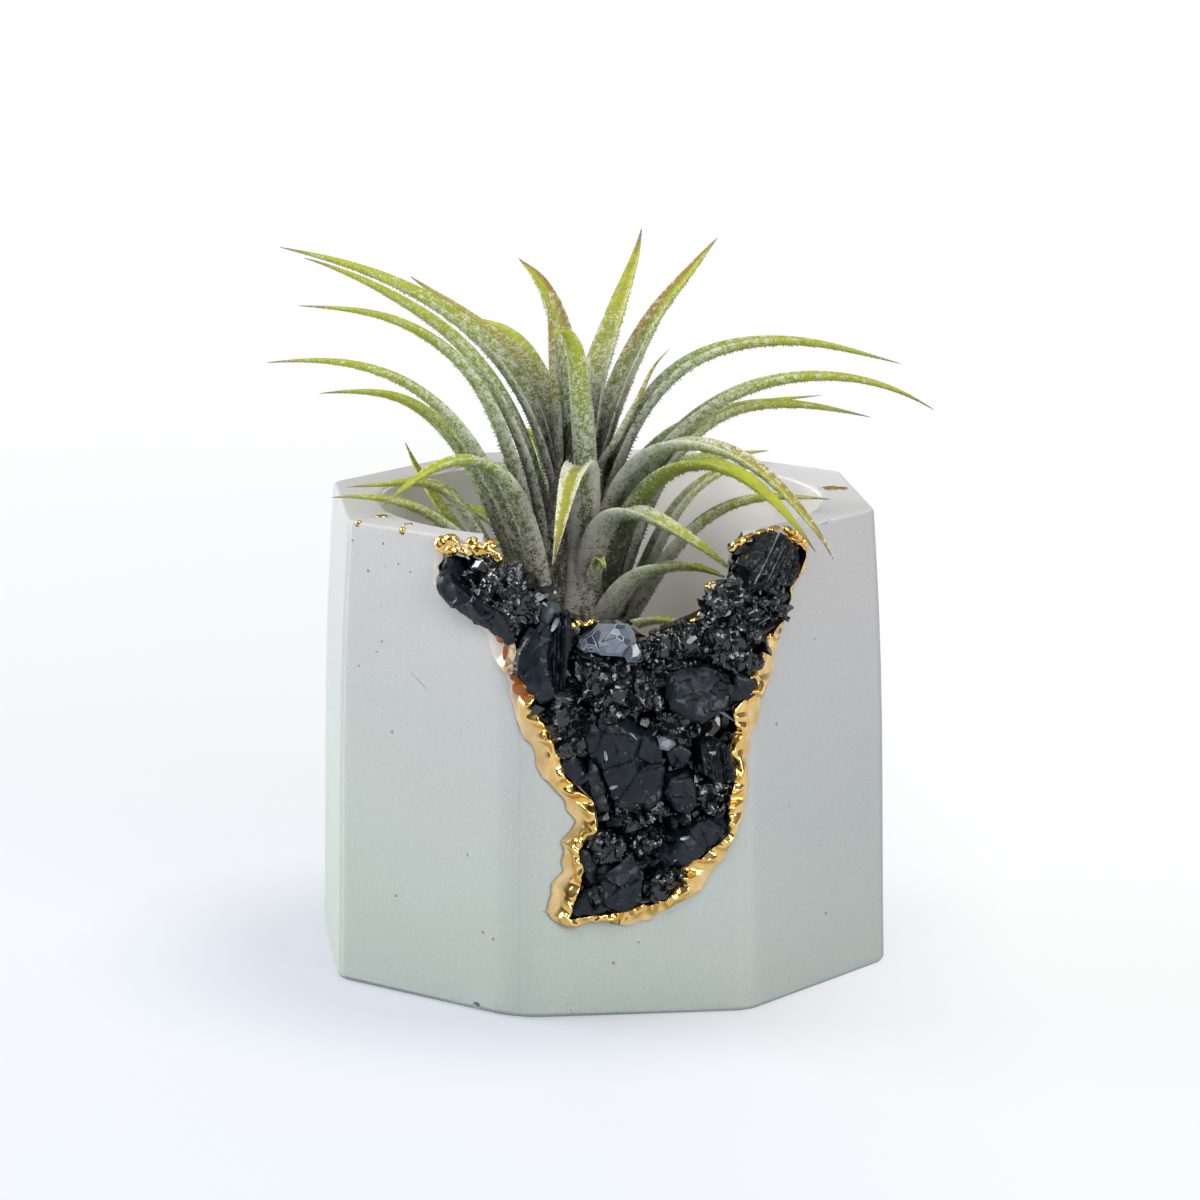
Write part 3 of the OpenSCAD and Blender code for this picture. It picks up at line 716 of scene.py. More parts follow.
# Marks on the wall that the photo shows: place across and up, half width, half height
wallMarks = [
    (-33.4, 61.4, 0.2, 0.2), (-29.1, 61.6, 0.19, 0.19), (-27.0, 59.2, 0.18, 0.18),
    (-31.2, 57.6, 0.24, 0.22), (-32.6, 59.8, 0.12, 0.12), (-28.8, 58.6, 0.11, 0.11),
    (5.1, 10.2, 0.2, 0.18), (-16.6, 0.9, 0.7, 0.5), (-5.4, 3.1, 0.45, 0.06), (-4.4, 2.0, 0.3, 0.1),
    (-3.9, 0.9, 0.1, 0.5), (19.8, 11.1, 0.07, 0.7), (19.5, 8.8, 0.06, 0.5), (19.6, 6.2, 0.07, 0.8),
    (19.9, 3.6, 0.06, 0.6), (31.0, 63.8, 0.5, 0.35), (-32.7, 63.7, 0.4, 0.4), (-26.5, 63.6, 0.55, 0.5)]


def bubbleAt(bubble, side, along, z, wide, tall, proud=0.35):
    turn = sideTurn(side)
    out = flatAt(z) + min(wide, tall) * proud
    at = Vector((out * math.cos(turn) - along * math.sin(turn),
                 out * math.sin(turn) + along * math.cos(turn), z))
    matrix = (Matrix.Translation(at * mm) @ Matrix.Rotation(turn, 4, "Z")
              @ Matrix.Diagonal((min(wide, tall) * mm, wide * mm, tall * mm, 1)))
    return copyOf(bubble, "bubble", matrix)


def makeBubbles():
    look = concreteLook
    chance = random.Random(look["seed"])
    bubble = newPrimitive("ico_sphere", subdivisions=2, radius=1)
    setMode("EDIT")
    tools.mesh.select_all(action="SELECT")
    tools.transform.vertex_random(offset=look["lumpy"], seed=3)
    setMode("OBJECT")
    bubbles = []
    for i in range(look["pits"]):
        side = chance.choice(look["pitSides"])
        z = pot["height"] * (1 - chance.random() ** 1.6 * 0.96) - 1.0  # thicker near the rim
        along = chance.uniform(-13, 13)
        size = mixOf(look["smallest"], look["largest"], chance.random() ** 3)
        x = flatAt(z) * math.cos(sideTurn(side)) - along * math.sin(sideTurn(side))
        if side in frontSides and isInside(Vector((x, z)), crystalOutline):
            continue
        bubbles.append(bubbleAt(bubble, side, along, z, size * chance.uniform(0.8, 1.5), size))
    for x, z, wide, tall in wallMarks:
        for side in frontSides:
            along = (flatAt(z) * math.cos(sideTurn(side)) - x) / math.sin(sideTurn(side))
            if abs(along) <= flatAt(z) * math.tan(halfSide):
                bubbles.append(bubbleAt(bubble, side, along, z, wide, tall, -0.2))
    bpy.data.objects.remove(bubble)
    return joinPieces(bubbles, "bubbles")


def makePot():
    look = concreteLook
    piece = copyNode("pot_body", "potCasting")
    cutter = makeBubbles()
    applyModifier(piece, "BOOLEAN", object=cutter, operation="DIFFERENCE", solver="EXACT",
                  use_self=True)
    bpy.data.objects.remove(cutter)
    onlySelect(piece)
    setMode("EDIT")
    for axis, low, high in ((0, -look["gridReach"], look["gridReach"]),
                            (1, -look["gridReach"], look["gridReach"]), (2, 0, pot["height"])):
        way = Matrix.Identity(3)[axis]
        place = low + look["grid"]
        while place < high - 0.5:  # an even grid over the walls
            cutAll(way * place * mm, way)
            place += look["grid"]
    for share in (0.2, 0.5, 1):
        cutAll((0, 0, look["foot"] * share * mm), (0, 0, 1))
    for number, radius in enumerate(edgeRadius):  # upright cuts for the rounded edges
        middle, toward = edgeMiddle(number, pot["height"] / 2)
        edge = toward * flatAt(pot["height"] / 2) / math.cos(halfSide)
        for step in range(-4, 5):
            selectVerts(piece, lambda co: (co.xy / mm - edge).length < radius * 0.42 + 6.5)
            way = Matrix.Rotation(math.radians(22.5 * step / 4 + 90), 2) @ toward
            tools.mesh.bisect(plane_co=(middle.x * mm, middle.y * mm, 0), plane_no=(way.x, way.y, 0))
    setMode("OBJECT")
    softenEdges(piece)
    for vertex in piece.data.vertices:  # the wall turns under a little at its foot
        low = 1 - vertex.co.z / mm / look["foot"]
        if low > 0 and vertex.co.xy.length > 30 * mm:
            vertex.co.xy *= 1 - look["footTuck"] * low ** 2
    shadeSmooth(piece, 24)
    applyModifier(piece, "WEIGHTED_NORMAL", mode="FACE_AREA", weight=100, keep_sharp=True)
    finishPiece(piece, concrete, "pot", "concrete", "pot_body")


makePot()
print("pot cast")


# Crystals

# Middles of the crystal nodes, across the break and down from the rim
crystalSeeds = [
    (-0.42, -0.10), (-0.28, -0.16), (-0.21, -0.30), (-0.10, -0.39), (0.04, -0.38), (0.21, -0.38),
    (0.19, -0.26), (0.39, -0.06), (0.36, -0.19), (-0.09, -0.55), (0.07, -0.54), (0.23, -0.53),
    (-0.01, -0.71), (0.16, -0.74), (-0.06, -0.88), (0.08, -0.87)]
# Outlines of the larger pieces on the wall, as read: kind, how far they stand out, how many
# times they are cut, and the turn of a column's striations
chunkRows = [
    ("smooth", 2.1, 5, 0, [(-21.6, 60.5), (-21.7, 58.9), (-20.9, 56.7), (-19.1, 55.0), (-16.1, 54.2),
        (-13.2, 52.8), (-11.2, 50.7), (-9.5, 51.8), (-10.2, 54.2), (-13.2, 56.0), (-16.1, 57.1),
        (-18.3, 58.6), (-19.6, 60.8), (-20.6, 61.5)]),
    ("rough", 1.7, 7, 0, [(-19.9, 61.3), (-16.4, 62.4), (-14.6, 62.3), (-11.4, 60.5), (-8.4, 58.1),
        (-7.0, 56.2), (-7.1, 54.1), (-9.2, 52.8), (-10.9, 53.9), (-13.4, 55.9), (-16.4, 56.8),
        (-18.5, 58.6), (-19.9, 60.0)]),
    ("smooth", 2.0, 8, 0, [(-7.9, 54.8), (-9.6, 52.3), (-10.7, 49.8), (-10.8, 47.5), (-9.6, 45.3),
        (-7.9, 43.7), (-6.3, 44.5), (-6.3, 47.4), (-6.8, 50.4), (-6.2, 53.3)]),
    ("column", 2.2, 5, 88, [(-6.2, 55.4), (-4.2, 55.4), (-3.9, 52.7), (-4.5, 49.0), (-4.9, 44.7),
        (-6.2, 43.6), (-7.2, 45.0), (-7.1, 49.7), (-6.7, 53.3)]),
    ("teal", 1.3, 9, 0, [(-8.4, 55.5), (-6.8, 56.8), (-5.3, 56.2), (-5.0, 54.9), (-6.6, 53.8),
        (-8.2, 53.6)]),
    ("rough", 1.9, 7, 0, [(-5.3, 49.0), (-2.0, 49.4), (1.1, 48.3), (3.4, 47.4), (3.7, 44.7),
        (2.6, 42.6), (0.0, 41.6), (-3.0, 42.8), (-5.3, 44.4)]),
    ("rough", 1.7, 7, 0, [(3.2, 47.7), (5.9, 48.4), (8.2, 47.6), (9.0, 44.9), (7.7, 42.5),
        (4.9, 41.7), (3.2, 43.1)]),
    ("smooth", 2.2, 4, 0, [(8.2, 47.0), (10.6, 47.6), (14.0, 47.9), (17.1, 46.8), (18.0, 44.3),
        (16.2, 42.2), (13.2, 40.8), (10.6, 41.6), (8.9, 43.2)]),
    ("rough", 1.5, 4, 0, [(4.9, 51.4), (6.9, 51.3), (7.4, 49.3), (6.7, 47.7), (4.9, 48.7)]),
    ("rough", 1.5, 6, 0, [(7.5, 52.0), (10.6, 53.1), (13.7, 53.9), (14.3, 52.2), (13.6, 50.5),
        (11.6, 49.2), (9.0, 48.3), (7.3, 49.7)]),
    ("rough", 1.9, 8, 0, [(13.7, 54.7), (16.4, 56.5), (19.1, 55.5), (21.2, 52.2), (21.8, 49.4),
        (20.8, 47.5), (17.9, 47.0), (14.8, 48.2), (13.6, 50.9)]),
    ("rough", 1.6, 6, 0, [(13.6, 56.7), (14.9, 57.6), (16.9, 57.7), (17.4, 55.8), (15.7, 54.5),
        (13.7, 55.1)]),
    ("column", 2.0, 5, 50, [(16.6, 60.9), (18.6, 63.2), (20.9, 64.5), (23.9, 64.3), (26.3, 62.6),
        (27.3, 60.4), (26.5, 58.7), (24.9, 57.3), (21.9, 57.6), (18.6, 57.8), (17.3, 57.8),
        (17.1, 59.4)]),
    ("rough", 2.1, 8, 0, [(17.9, 57.5), (20.1, 58.4), (22.8, 58.3), (24.6, 56.7), (25.4, 54.8),
        (24.4, 53.0), (22.6, 52.4), (20.8, 53.4), (19.4, 55.1), (18.2, 56.2)]),
    ("smooth", 1.2, 5, 0, [(18.1, 46.8), (20.3, 45.5), (20.8, 44.0), (19.2, 43.1), (17.3, 42.9),
        (16.2, 41.3), (15.5, 42.3), (17.2, 44.1)]),
    ("rough", 1.6, 7, 0, [(-7.1, 41.8), (-5.3, 43.9), (-2.6, 43.7), (-1.7, 41.4), (-2.1, 37.3),
        (-3.4, 35.9), (-5.3, 36.4), (-6.5, 38.9)]),
    ("smooth", 2.3, 6, 0, [(-1.6, 41.1), (0.3, 41.9), (2.9, 41.5), (6.1, 38.5), (7.9, 37.1),
        (8.5, 34.1), (8.1, 30.3), (6.6, 28.7), (3.7, 28.3), (1.3, 30.0), (0.3, 33.4), (-1.1, 37.5)]),
    ("rough", 2.3, 6, 0, [(-1.8, 41.8), (0.3, 42.4), (3.2, 41.9), (4.5, 40.1), (2.9, 38.6),
        (0.0, 38.4), (-1.6, 39.8)]),
    ("rough", 1.7, 6, 0, [(1.1, 29.2), (4.0, 29.9), (6.9, 29.4), (7.2, 27.6), (4.8, 26.6),
        (1.6, 27.2)]),
    ("smooth", 1.4, 5, 0, [(-5.0, 36.1), (-2.9, 36.6), (-2.1, 35.5), (-1.6, 33.0), (-3.0, 32.0),
        (-4.8, 33.9)]),
    ("smooth", 1.0, 4, 0, [(-1.3, 35.7), (-0.3, 33.8), (0.8, 30.7), (1.2, 27.8), (0.0, 27.4),
        (-1.1, 30.3), (-1.6, 33.3)]),
    ("rough", 1.7, 6, 0, [(7.7, 41.1), (11.6, 41.7), (14.0, 40.5), (13.5, 38.7), (10.7, 37.9),
        (8.2, 39.0)]),
    ("pale", 2.1, 8, 0, [(7.4, 38.3), (9.4, 38.8), (10.2, 37.7), (9.0, 36.6), (7.7, 36.9)]),
    ("smooth", 2.0, 6, 0, [(8.5, 36.5), (10.5, 37.3), (11.9, 36.3), (11.3, 34.4), (9.1, 34.7)]),
    ("column", 1.9, 4, 98, [(12.9, 37.5), (14.8, 38.1), (16.8, 37.0), (17.8, 34.4), (17.8, 32.3),
        (15.4, 32.1), (13.5, 33.5)]),
    ("smooth", 2.2, 5, 0, [(8.1, 31.1), (9.0, 33.0), (11.3, 33.5), (12.9, 31.7), (12.6, 29.6),
        (11.6, 27.6), (9.7, 28.4)]),
    ("rough", 1.5, 6, 0, [(13.1, 31.0), (15.7, 32.0), (18.1, 31.6), (17.5, 29.6), (16.2, 28.2),
        (14.1, 27.8), (13.0, 29.2)]),
    ("smooth", 2.1, 5, 0, [(8.1, 23.0), (9.7, 24.8), (13.0, 27.0), (15.8, 27.5), (17.2, 25.7),
        (16.4, 24.0), (13.4, 22.5), (11.4, 21.1), (10.2, 20.5), (8.5, 21.3)]),
    ("rough", 1.5, 6, 0, [(-1.3, 25.2), (1.6, 25.6), (3.1, 23.8), (2.5, 21.8), (0.1, 21.5),
        (-1.6, 23.1)]),
    ("rough", 1.0, 6, 0, [(3.4, 25.0), (6.6, 26.3), (9.0, 25.5), (8.1, 23.1), (6.1, 21.5),
        (4.4, 23.1)]),
    ("smooth", 1.9, 4, 0, [(-0.8, 18.4), (0.7, 20.4), (2.4, 21.4), (4.2, 23.1), (5.4, 20.2),
        (6.1, 17.6), (5.5, 15.0), (2.8, 14.6), (0.5, 15.6), (-0.5, 16.4)]),
    ("smooth", 1.3, 4, 0, [(-4.1, 14.5), (-3.1, 16.5), (-1.5, 18.0), (-0.1, 16.4), (0.3, 15.3),
        (-1.9, 14.6)]),
    ("rough", 1.6, 6, 0, [(6.1, 18.8), (8.0, 20.1), (10.4, 20.5), (11.3, 18.5), (10.1, 17.1),
        (7.5, 16.3), (6.1, 16.8)]),
    ("smooth", 0.9, 4, 0, [(-2.8, 23.4), (-1.3, 23.0), (-0.5, 20.8), (-1.1, 18.4), (-2.0, 20.3)]),
    ("rough", 1.1, 6, 0, [(-3.7, 52.1), (-1.6, 50.2), (0.0, 49.2), (2.9, 49.0), (4.8, 47.7),
        (2.6, 47.7), (-0.5, 48.9), (-3.3, 49.5), (-4.5, 51.0)]),
    ("rough", 1.3, 5, 0, [(5.3, 47.6), (7.9, 48.1), (11.9, 48.5), (13.2, 48.0), (11.1, 47.5),
        (8.5, 47.2)])]
quartzRows = [
    (2.7, 13, [(-3.2, 50.7), (-2.9, 51.7), (-1.3, 52.8), (-0.3, 53.8), (2.0, 53.9), (3.7, 53.6),
        (4.5, 52.3), (4.7, 50.5), (3.7, 49.4), (2.0, 49.6), (0.0, 49.8), (-1.3, 50.6), (-2.4, 50.1)]),
    (3.1, 7, [(2.8, 49.7), (3.6, 51.0), (4.5, 51.3), (5.1, 49.9), (4.3, 48.3), (3.7, 48.2)]),
    (2.9, 6, [(-2.9, 50.6), (-2.6, 51.9), (-0.6, 53.2), (0.6, 52.2), (0.2, 50.5), (-1.4, 50.2)]),
    (3.2, 6, [(0.4, 50.2), (0.2, 52.0), (1.4, 53.5), (3.2, 53.2), (3.9, 51.6), (2.4, 50.0)])]
chipLook = {
    "gap": (2.4, 1.5), "crumb": (1.25, 1.1),  # size and spacing of each layer of chips
    "patterns": 8, "cuts": 9, "seed": 21, "edgeGap": 0.12, "sizes": (0.6, 1.25),
    "paleAbove": 0.97, "paleTone": 0.25,
    "share": {"rough": 0.12, "gap": 0.3, "teal": 0, "smooth": 0, "column": 0, "pale": 0},
    "shape": (1.7, 0.7, 0.85), "tries": 6000, "rayFrom": 8, "lowest": -0.6, "sink": 0.16,
}
# Facets of each kind of break: spacing, stretch, height and tilt of the larger ones, then of the
# finer ones on them; and how a chunk is cut: tilt, and how far from its middle
facetLook = {
    "voxel": 0.22, "back": 1.1, "rib": (0.35, 0.85), "ribHeight": (0.1, 0.6), "edge": 0.07,
    "rough": ((2.2, 2.2, 0.3, 0.45), (1.0, 1.9, 0.09, 0.32)),
    "smooth": ((3.6, 1.4, 0.2, 0.13), (1.4, 1.6, 0.03, 0.09)),
    "column": ((2.2, 5, 0.12, 0.08),),
    "brokenCut": ((16, 50), (0.2, 0.8)), "slabCut": ((30, 62), (0.68, 0.98)),
    "clearCut": ((18, 62), (0.35, 0.95)), "slope": (7, 17),
}
# Splinters that the photo shows bright, painted pale as glints where the light catches them: place across
# and up, length, width, turn
paintedGlintRows = [
    (0.5, 36.3, 1.1, 0.5, 100), (1.6, 31.9, 0.9, 0.6, 20), (11.0, 24.7, 1.0, 0.7, 15),
    (-2.6, 46.4, 1.3, 0.4, 100), (16.5, 55.0, 0.8, 0.5, 60), (16.8, 40.8, 2.0, 0.5, 150),
    (14.7, 28.1, 1.0, 0.6, 40), (14.6, 36.3, 0.8, 0.6, 10), (15.6, 32.0, 1.2, 0.5, 130),
    (20.3, 57.2, 0.6, 0.3, 80), (11.9, 51.4, 1.2, 0.8, 30), (5.3, 43.5, 1.0, 0.3, 120),
    (7.3, 38.8, 0.9, 0.4, 60), (0.0, 43.7, 0.8, 0.4, 45), (-7.2, 56.3, 0.9, 0.4, 150),
    (-13.1, 58.3, 0.7, 0.3, 80), (-15.8, 60.6, 0.7, 0.4, 20), (-6.2, 54.0, 1.5, 0.7, 70),
    (4.0, 39.0, 1.4, 0.3, 140), (9.7, 21.8, 0.8, 0.3, 30), (20.2, 61.8, 7.0, 0.35, 47),
    (21.3, 60.9, 4.6, 0.2, 47)]


def wallFrame(x, z, stand):  # on the wall at a place, with its own -Y pointing out of it
    side = wallY(x + 0.5, z) - wallY(x - 0.5, z)
    outward = Vector((side, -1, 0.03)).normalized()
    right = Vector((1, side, 0)).normalized()
    turned = Matrix((right, -outward, right.cross(-outward))).transposed().to_4x4()
    return Matrix.Translation((Vector((x, wallY(x, z), z)) + outward * stand) * mm) @ turned


def middleOf(outline):
    return sum((Vector(p) for p in outline), Vector((0, 0))) / len(outline)


def shapeChunk(kind, height, cuts, turn, outline, seed):
    # A ring of points on the wall, drawn out of it, split by tilted planes, then broken to facets
    look = facetLook
    chance = random.Random(seed)
    middle = middleOf(outline)
    chunk = newPrimitive("circle", vertices=len(outline), radius=1, fill_type="NGON")
    for vertex, point in zip(chunk.data.vertices, outline):
        vertex.co = (point[0] - middle.x, look["back"], point[1] - middle.y)
    setMode("EDIT")
    tools.mesh.select_all(action="SELECT")
    tools.mesh.extrude_region_move(TRANSFORM_OT_translate={"value": (0, -look["back"] - height * 1.15, 0)})
    flat = kind in ("smooth", "column")
    for cut in range(cuts):
        around = math.tau * (cut + chance.uniform(-0.35, 0.35)) / cuts
        toward = Vector((math.cos(around), 0, math.sin(around)))
        reach = max((Vector((p[0], 0, p[1])) - Vector((middle.x, 0, middle.y))).dot(toward)
                    for p in outline)
        tilt, share = [chance.uniform(*ends) for ends in look["slabCut" if flat else "brokenCut"]]
        if kind in ("quartz", "teal", "pale"):
            tilt, share = [chance.uniform(*ends) for ends in look["clearCut"]]
        elif flat and cut % 4 == 0:  # a broad slope rather than a broken edge
            tilt, share = chance.uniform(*look["slope"]), 0.15
        tilt = math.radians(tilt)
        cutAll(toward * reach * share + Vector((0, -height, 0)),
               toward * math.sin(tilt) + Vector((0, -math.cos(tilt), 0)), use_fill=True, clear_outer=True)
    tools.mesh.select_all(action="SELECT")
    tools.mesh.normals_make_consistent(inside=False)
    setMode("OBJECT")
    if kind in look:
        skinOver(chunk, look["voxel"] * (0.62 if kind == "column" else 1))
        for layer in look[kind]:
            breakFacets(chunk, layer, turn or chance.uniform(20, 160), chance)
    else:  # clean facets, whose edges catch the light
        applyModifier(chunk, "BEVEL", width=look["edge"], segments=1, limit_method="NONE")
    if kind == "column":
        ribColumn(chunk, turn, chance)
    chunk.data.transform(wallFrame(middle.x, middle.y, 0) @ Matrix.Scale(mm, 4))
    paintChunk(chunk, *{
        "smooth": (chance.uniform(0.85, 1), 0), "column": (0.5, 0), "pale": (0.3, 0.6),
        "quartz": (0, 0), "teal": (0.8, 0.16), "rough": (chance.uniform(0.05, 0.35), 0)}[kind])
    return chunk


def ribColumn(piece, turn, chance):
    # Sharp ribs of uneven width and height run the length of the column
    angle = math.radians(turn)
    across = Vector((-math.sin(angle), 0, math.cos(angle)))
    edges = [-9]
    while edges[-1] < 9:
        edges.append(edges[-1] + chance.uniform(*facetLook["rib"]))
    tops = [chance.uniform(*facetLook["ribHeight"]) for edge in edges]
    for vertex in piece.data.vertices:
        place = vertex.co.dot(across)
        rib = bisect(edges, place) - 1
        share = (place - edges[rib]) / (edges[rib + 1] - edges[rib])
        if vertex.co.y < facetLook["back"] - 0.5:
            vertex.co.y -= tops[rib] * (1 - abs(2 * share - 1)) + 0.5 * (tops[rib] - 0.25)
    piece.data.update()


def breakFacets(piece, layer, turn, chance):
    # Each place moves to the tilted plane of the facet whose middle lies nearest
    spacing, stretch, height, tilt = layer
    lay = Matrix.Diagonal((1 / stretch, 1, 1)) @ Matrix.Rotation(math.radians(turn), 3, "Y")
    corners = [lay @ v.co for v in piece.data.vertices]
    ends = [(min(c[i] for c in corners), max(c[i] for c in corners)) for i in range(3)]
    room = math.prod(high - low + spacing * 0.3 for low, high in ends)
    count = max(4, int(room / spacing ** 3 * 1.2))
    finder = KDTree(count)
    planes = []
    for number in range(count):
        middle = Vector([chance.uniform(low, high) for low, high in ends])
        finder.insert(middle, number)
        planes.append((middle, chance.gauss(0, height), Vector([chance.gauss(0, tilt) for i in range(3)])))
    finder.balance()
    moves = []
    for vertex, corner in zip(piece.data.vertices, corners):
        middle, lift, slope = planes[finder.find(corner)[1]]
        moves.append(vertex.normal * (lift + slope.dot(corner - middle)))
    for vertex, move in zip(piece.data.vertices, moves):
        if vertex.co.y < facetLook["back"] - 0.5:
            vertex.co += move
    piece.data.update()


def paintChunk(chunk, skin, pale):
    for field, value in zip(addFields(chunk, "skin", "pale"), (skin, pale)):
        field.foreach_set("value", [value] * len(field))


def knockChip(seed):
    # A cube knocked into a chip by bisecting it with tilted planes
    chance = random.Random(seed)
    chip = newPrimitive("cube", size=1)
    setMode("EDIT")
    for cut in range(chipLook["cuts"]):
        way = Vector([chance.gauss(0, spread) for spread in (0.7, 1, 1)]).normalized()
        cutAll(way * chance.uniform(0.28, 0.48), way, use_fill=True, clear_outer=True)
    setMode("OBJECT")
    return chip


def nearestSeed(place):
    return min(range(len(crystalSeeds)), key=lambda i: (inBreak(crystalSeeds[i]) - place).length)


def standAt(x, z, surfaces, bare):  # how far the chunks stand out of the wall, and of what kind
    far = chipLook["rayFrom"]
    here = wallFrame(x, z, 0)
    origin, way = here @ Vector((0, -far * mm, 0)), here.to_3x3() @ Vector((0, 1, 0))
    found = [(tree.ray_cast(origin, way)[3], kind) for kind, tree in surfaces]
    length, kind = min([hit for hit in found if hit[0] is not None], default=((far - bare) * mm, "gap"))
    return far - length / mm, kind


def makeCrystals():
    look = chipLook
    chance = random.Random(look["seed"])
    groups = [[] for seed in crystalSeeds]
    surfaces = []
    for seed, (kind, height, cuts, turn, outline) in enumerate(chunkRows):
        chunk = shapeChunk(kind, height, cuts, turn, outline, seed)
        dull = kind in ("smooth", "column", "teal")
        chunk.data.materials.append(tourmalineSkin if dull else tourmaline)
        groups[nearestSeed(middleOf(outline))].append(chunk)
        surfaces.append((kind, BVHTree.FromPolygons([v.co for v in chunk.data.vertices],
                                                    [p.vertices for p in chunk.data.polygons])))
    patterns = [knockChip(40 + i) for i in range(look["patterns"])]
    for pattern in patterns:
        pattern.data.materials.append(tourmaline)
    low, high = inBreak((-0.5, -0.97)), inBreak((0.5, 0))
    for layer in ("gap", "crumb"):
        size, spacing = look[layer]
        taken = []
        for attempt in range(look["tries"]):
            place = Vector((chance.uniform(low.x, high.x), chance.uniform(low.y, high.y)))
            if not isInside(place, crystalOutline):
                continue
            if min(((place - other).length for other in taken), default=99) < spacing:
                continue
            if distanceTo(place, crystalOutline + crystalOutline[:1]) < size * look["edgeGap"]:
                continue
            stand, kind = standAt(place.x, place.y, surfaces, -1)
            if layer == "gap" and stand > 0.5:
                continue
            taken.append(place)
            if layer == "crumb" and chance.random() > look["share"][kind]:
                continue
            scale = size * chance.uniform(*look["sizes"])
            turns = [turnOf(chance.uniform(0, 360), axis) for axis in "XYZ"]
            matrix = (wallFrame(place.x, place.y, max(look["lowest"], stand) - scale * look["sink"])
                      @ turns[0] @ turns[1] @ turns[2]
                      @ Matrix.Diagonal([scale * share * mm for share in look["shape"]] + [1]))
            chip = copyOf(chance.choice(patterns), "chip", matrix)
            luck = chance.random()
            paintChunk(chip, chance.uniform(0, 0.5), look["paleTone"] if luck > look["paleAbove"] else 0)
            groups[nearestSeed(place)].append(chip)
    for x, z, long, wide, turn in paintedGlintRows:
        stand = standAt(x, z, surfaces, 0)[0]
        matrix = (wallFrame(x, z, stand + 0.02) @ turnOf(-turn, "Y")
                  @ Matrix.Rotation(chance.uniform(-0.3, 0.3), 4, "X")
                  @ Matrix.Diagonal((long * 1.2 * mm, wide * mm, wide * 1.1 * mm, 1)))
        spark = copyOf(patterns[0], "spark", matrix)
        # Painted glint: the splinter is coloured pale where the light catches it
        paintChunk(spark, 0.2, 0.65 if long < 3 else 0.4)
        groups[nearestSeed(Vector((x, z)))].append(spark)
    for pattern in patterns:
        bpy.data.objects.remove(pattern)
    for number, group in enumerate(groups, 1):
        cluster = joinPieces(group, "tourmalineCluster%02d" % number)
        shadeSmooth(cluster, 20)
        finishPiece(cluster, None, "pot", "black_crystal", "crystal_%02d" % number)


quartzLook = {"seed": 8, "edgeArea": 0.12, "edgePaintedHighlight": 0.62, "facetPaintedShading": (-0.1, 0.38)}


def makeQuartzPiece():
    look = quartzLook
    piece = joinPieces([shapeChunk("quartz", height, cuts, 0, outline, 70 + 3 * number)
                        for number, (height, cuts, outline) in enumerate(quartzRows)], "quartzPoint")
    tools.object.shade_flat()
    chance = random.Random(look["seed"])
    facets = piece.data.attributes.new("facet", "FLOAT", "FACE").data
    for polygon in piece.data.polygons:  # the narrow faces are the edges between the facets, painted pale as highlights; the broad facets get painted light and shade at random
        narrow = polygon.area < look["edgeArea"] * mm * mm
        facets[polygon.index].value = look["edgePaintedHighlight"] if narrow else chance.uniform(*look["facetPaintedShading"])
    finishPiece(piece, quartz, "pot", "quartz", "quartz_crystal")


makeCrystals()
makeQuartzPiece()
print("crystals set in the bed")

resinBed = frame["nodes"]["resin_bed"]
resinBed.data.materials.clear()
resinBed.data.materials.append(resinDark)


# Gold

goldLook = {
    "voxel": 0.17, "film": 0.42, "thin": 0.16, "bead": 0.85, "beadAt": 0.7, "beadWidth": 0.9,
    "lump": 1.05, "lumpSize": 2.4, "cadThickness": 0.9, "fadedBelow": (-13.5, -9.5), "fade": 0.85,
    "sway": 0.84, "swaySize": 2.4, "dropPlace": (-12.9, 48.2), "dropSize": 0.9, "dropHeight": 0.9,
}


def beadHeight(place, away):
    # Height of the gold over the wall: a lumpy bead along the crystals, then a brushed film that
    # rounds off at its outer edge
    look = goldLook
    spot = Vector((place.x / look["lumpSize"], 0, place.y / look["lumpSize"]))
    fold = (0.5 - abs(noise.noise(spot)) * 2.2) + 0.5 * noise.noise(spot * 0.6)
    strong = mixOf(0.1, 1, easeBetween(*look["fadedBelow"], place.x))
    ridge = math.exp(-max(0, (away - look["beadAt"]) / look["beadWidth"]) ** 2) * strong
    film = mixOf(look["thin"], look["film"] + 0.16 * noise.noise(spot * 0.9 + Vector((9, 0, 0))), strong)
    return film + max(0.0, look["bead"] + fold * look["lump"]) * ridge


def makeGoldRim():
    look = goldLook
    piece = copyNode("gold_rim", "goldBead")
    skinOver(piece, look["voxel"] * mm)
    edge = lowLine + [topLine[0]]
    film, faded = addFields(piece, "film", "faded")
    for vertex in piece.data.vertices:
        x, y, z = vertex.co / mm
        wall = wallY(x, z)
        place = Vector((x, z))
        away = distanceTo(place, edge)
        drop = math.exp(-((place - Vector(look["dropPlace"])).length / look["dropSize"]) ** 2)
        film[vertex.index].value = easeBetween(1.3, 2.1, away)
        faded[vertex.index].value = look["fade"] * (1 - easeBetween(*look["fadedBelow"], x)) * (1 - drop)
        sway = Vector([noise.noise(Vector((x / look["swaySize"], lane, z / look["swaySize"])))
                       for lane in (3, 30)])
        move = sway * look["sway"] * easeBetween(0.9, 2.2, away)
        share = (wall - y) / look["cadThickness"]
        if share > 0:
            y = wall - share * (beadHeight(place, away) + look["dropHeight"] * drop)
        vertex.co = Vector((x + move.x, y + wallY(x + move.x, z + move.y) - wall, z + move.y)) * mm
    relax(piece, 4)
    softenEdges(piece)
    shadeSmooth(piece)
    finishPiece(piece, goldLeaf, "pot", "gold", "gold_rim")


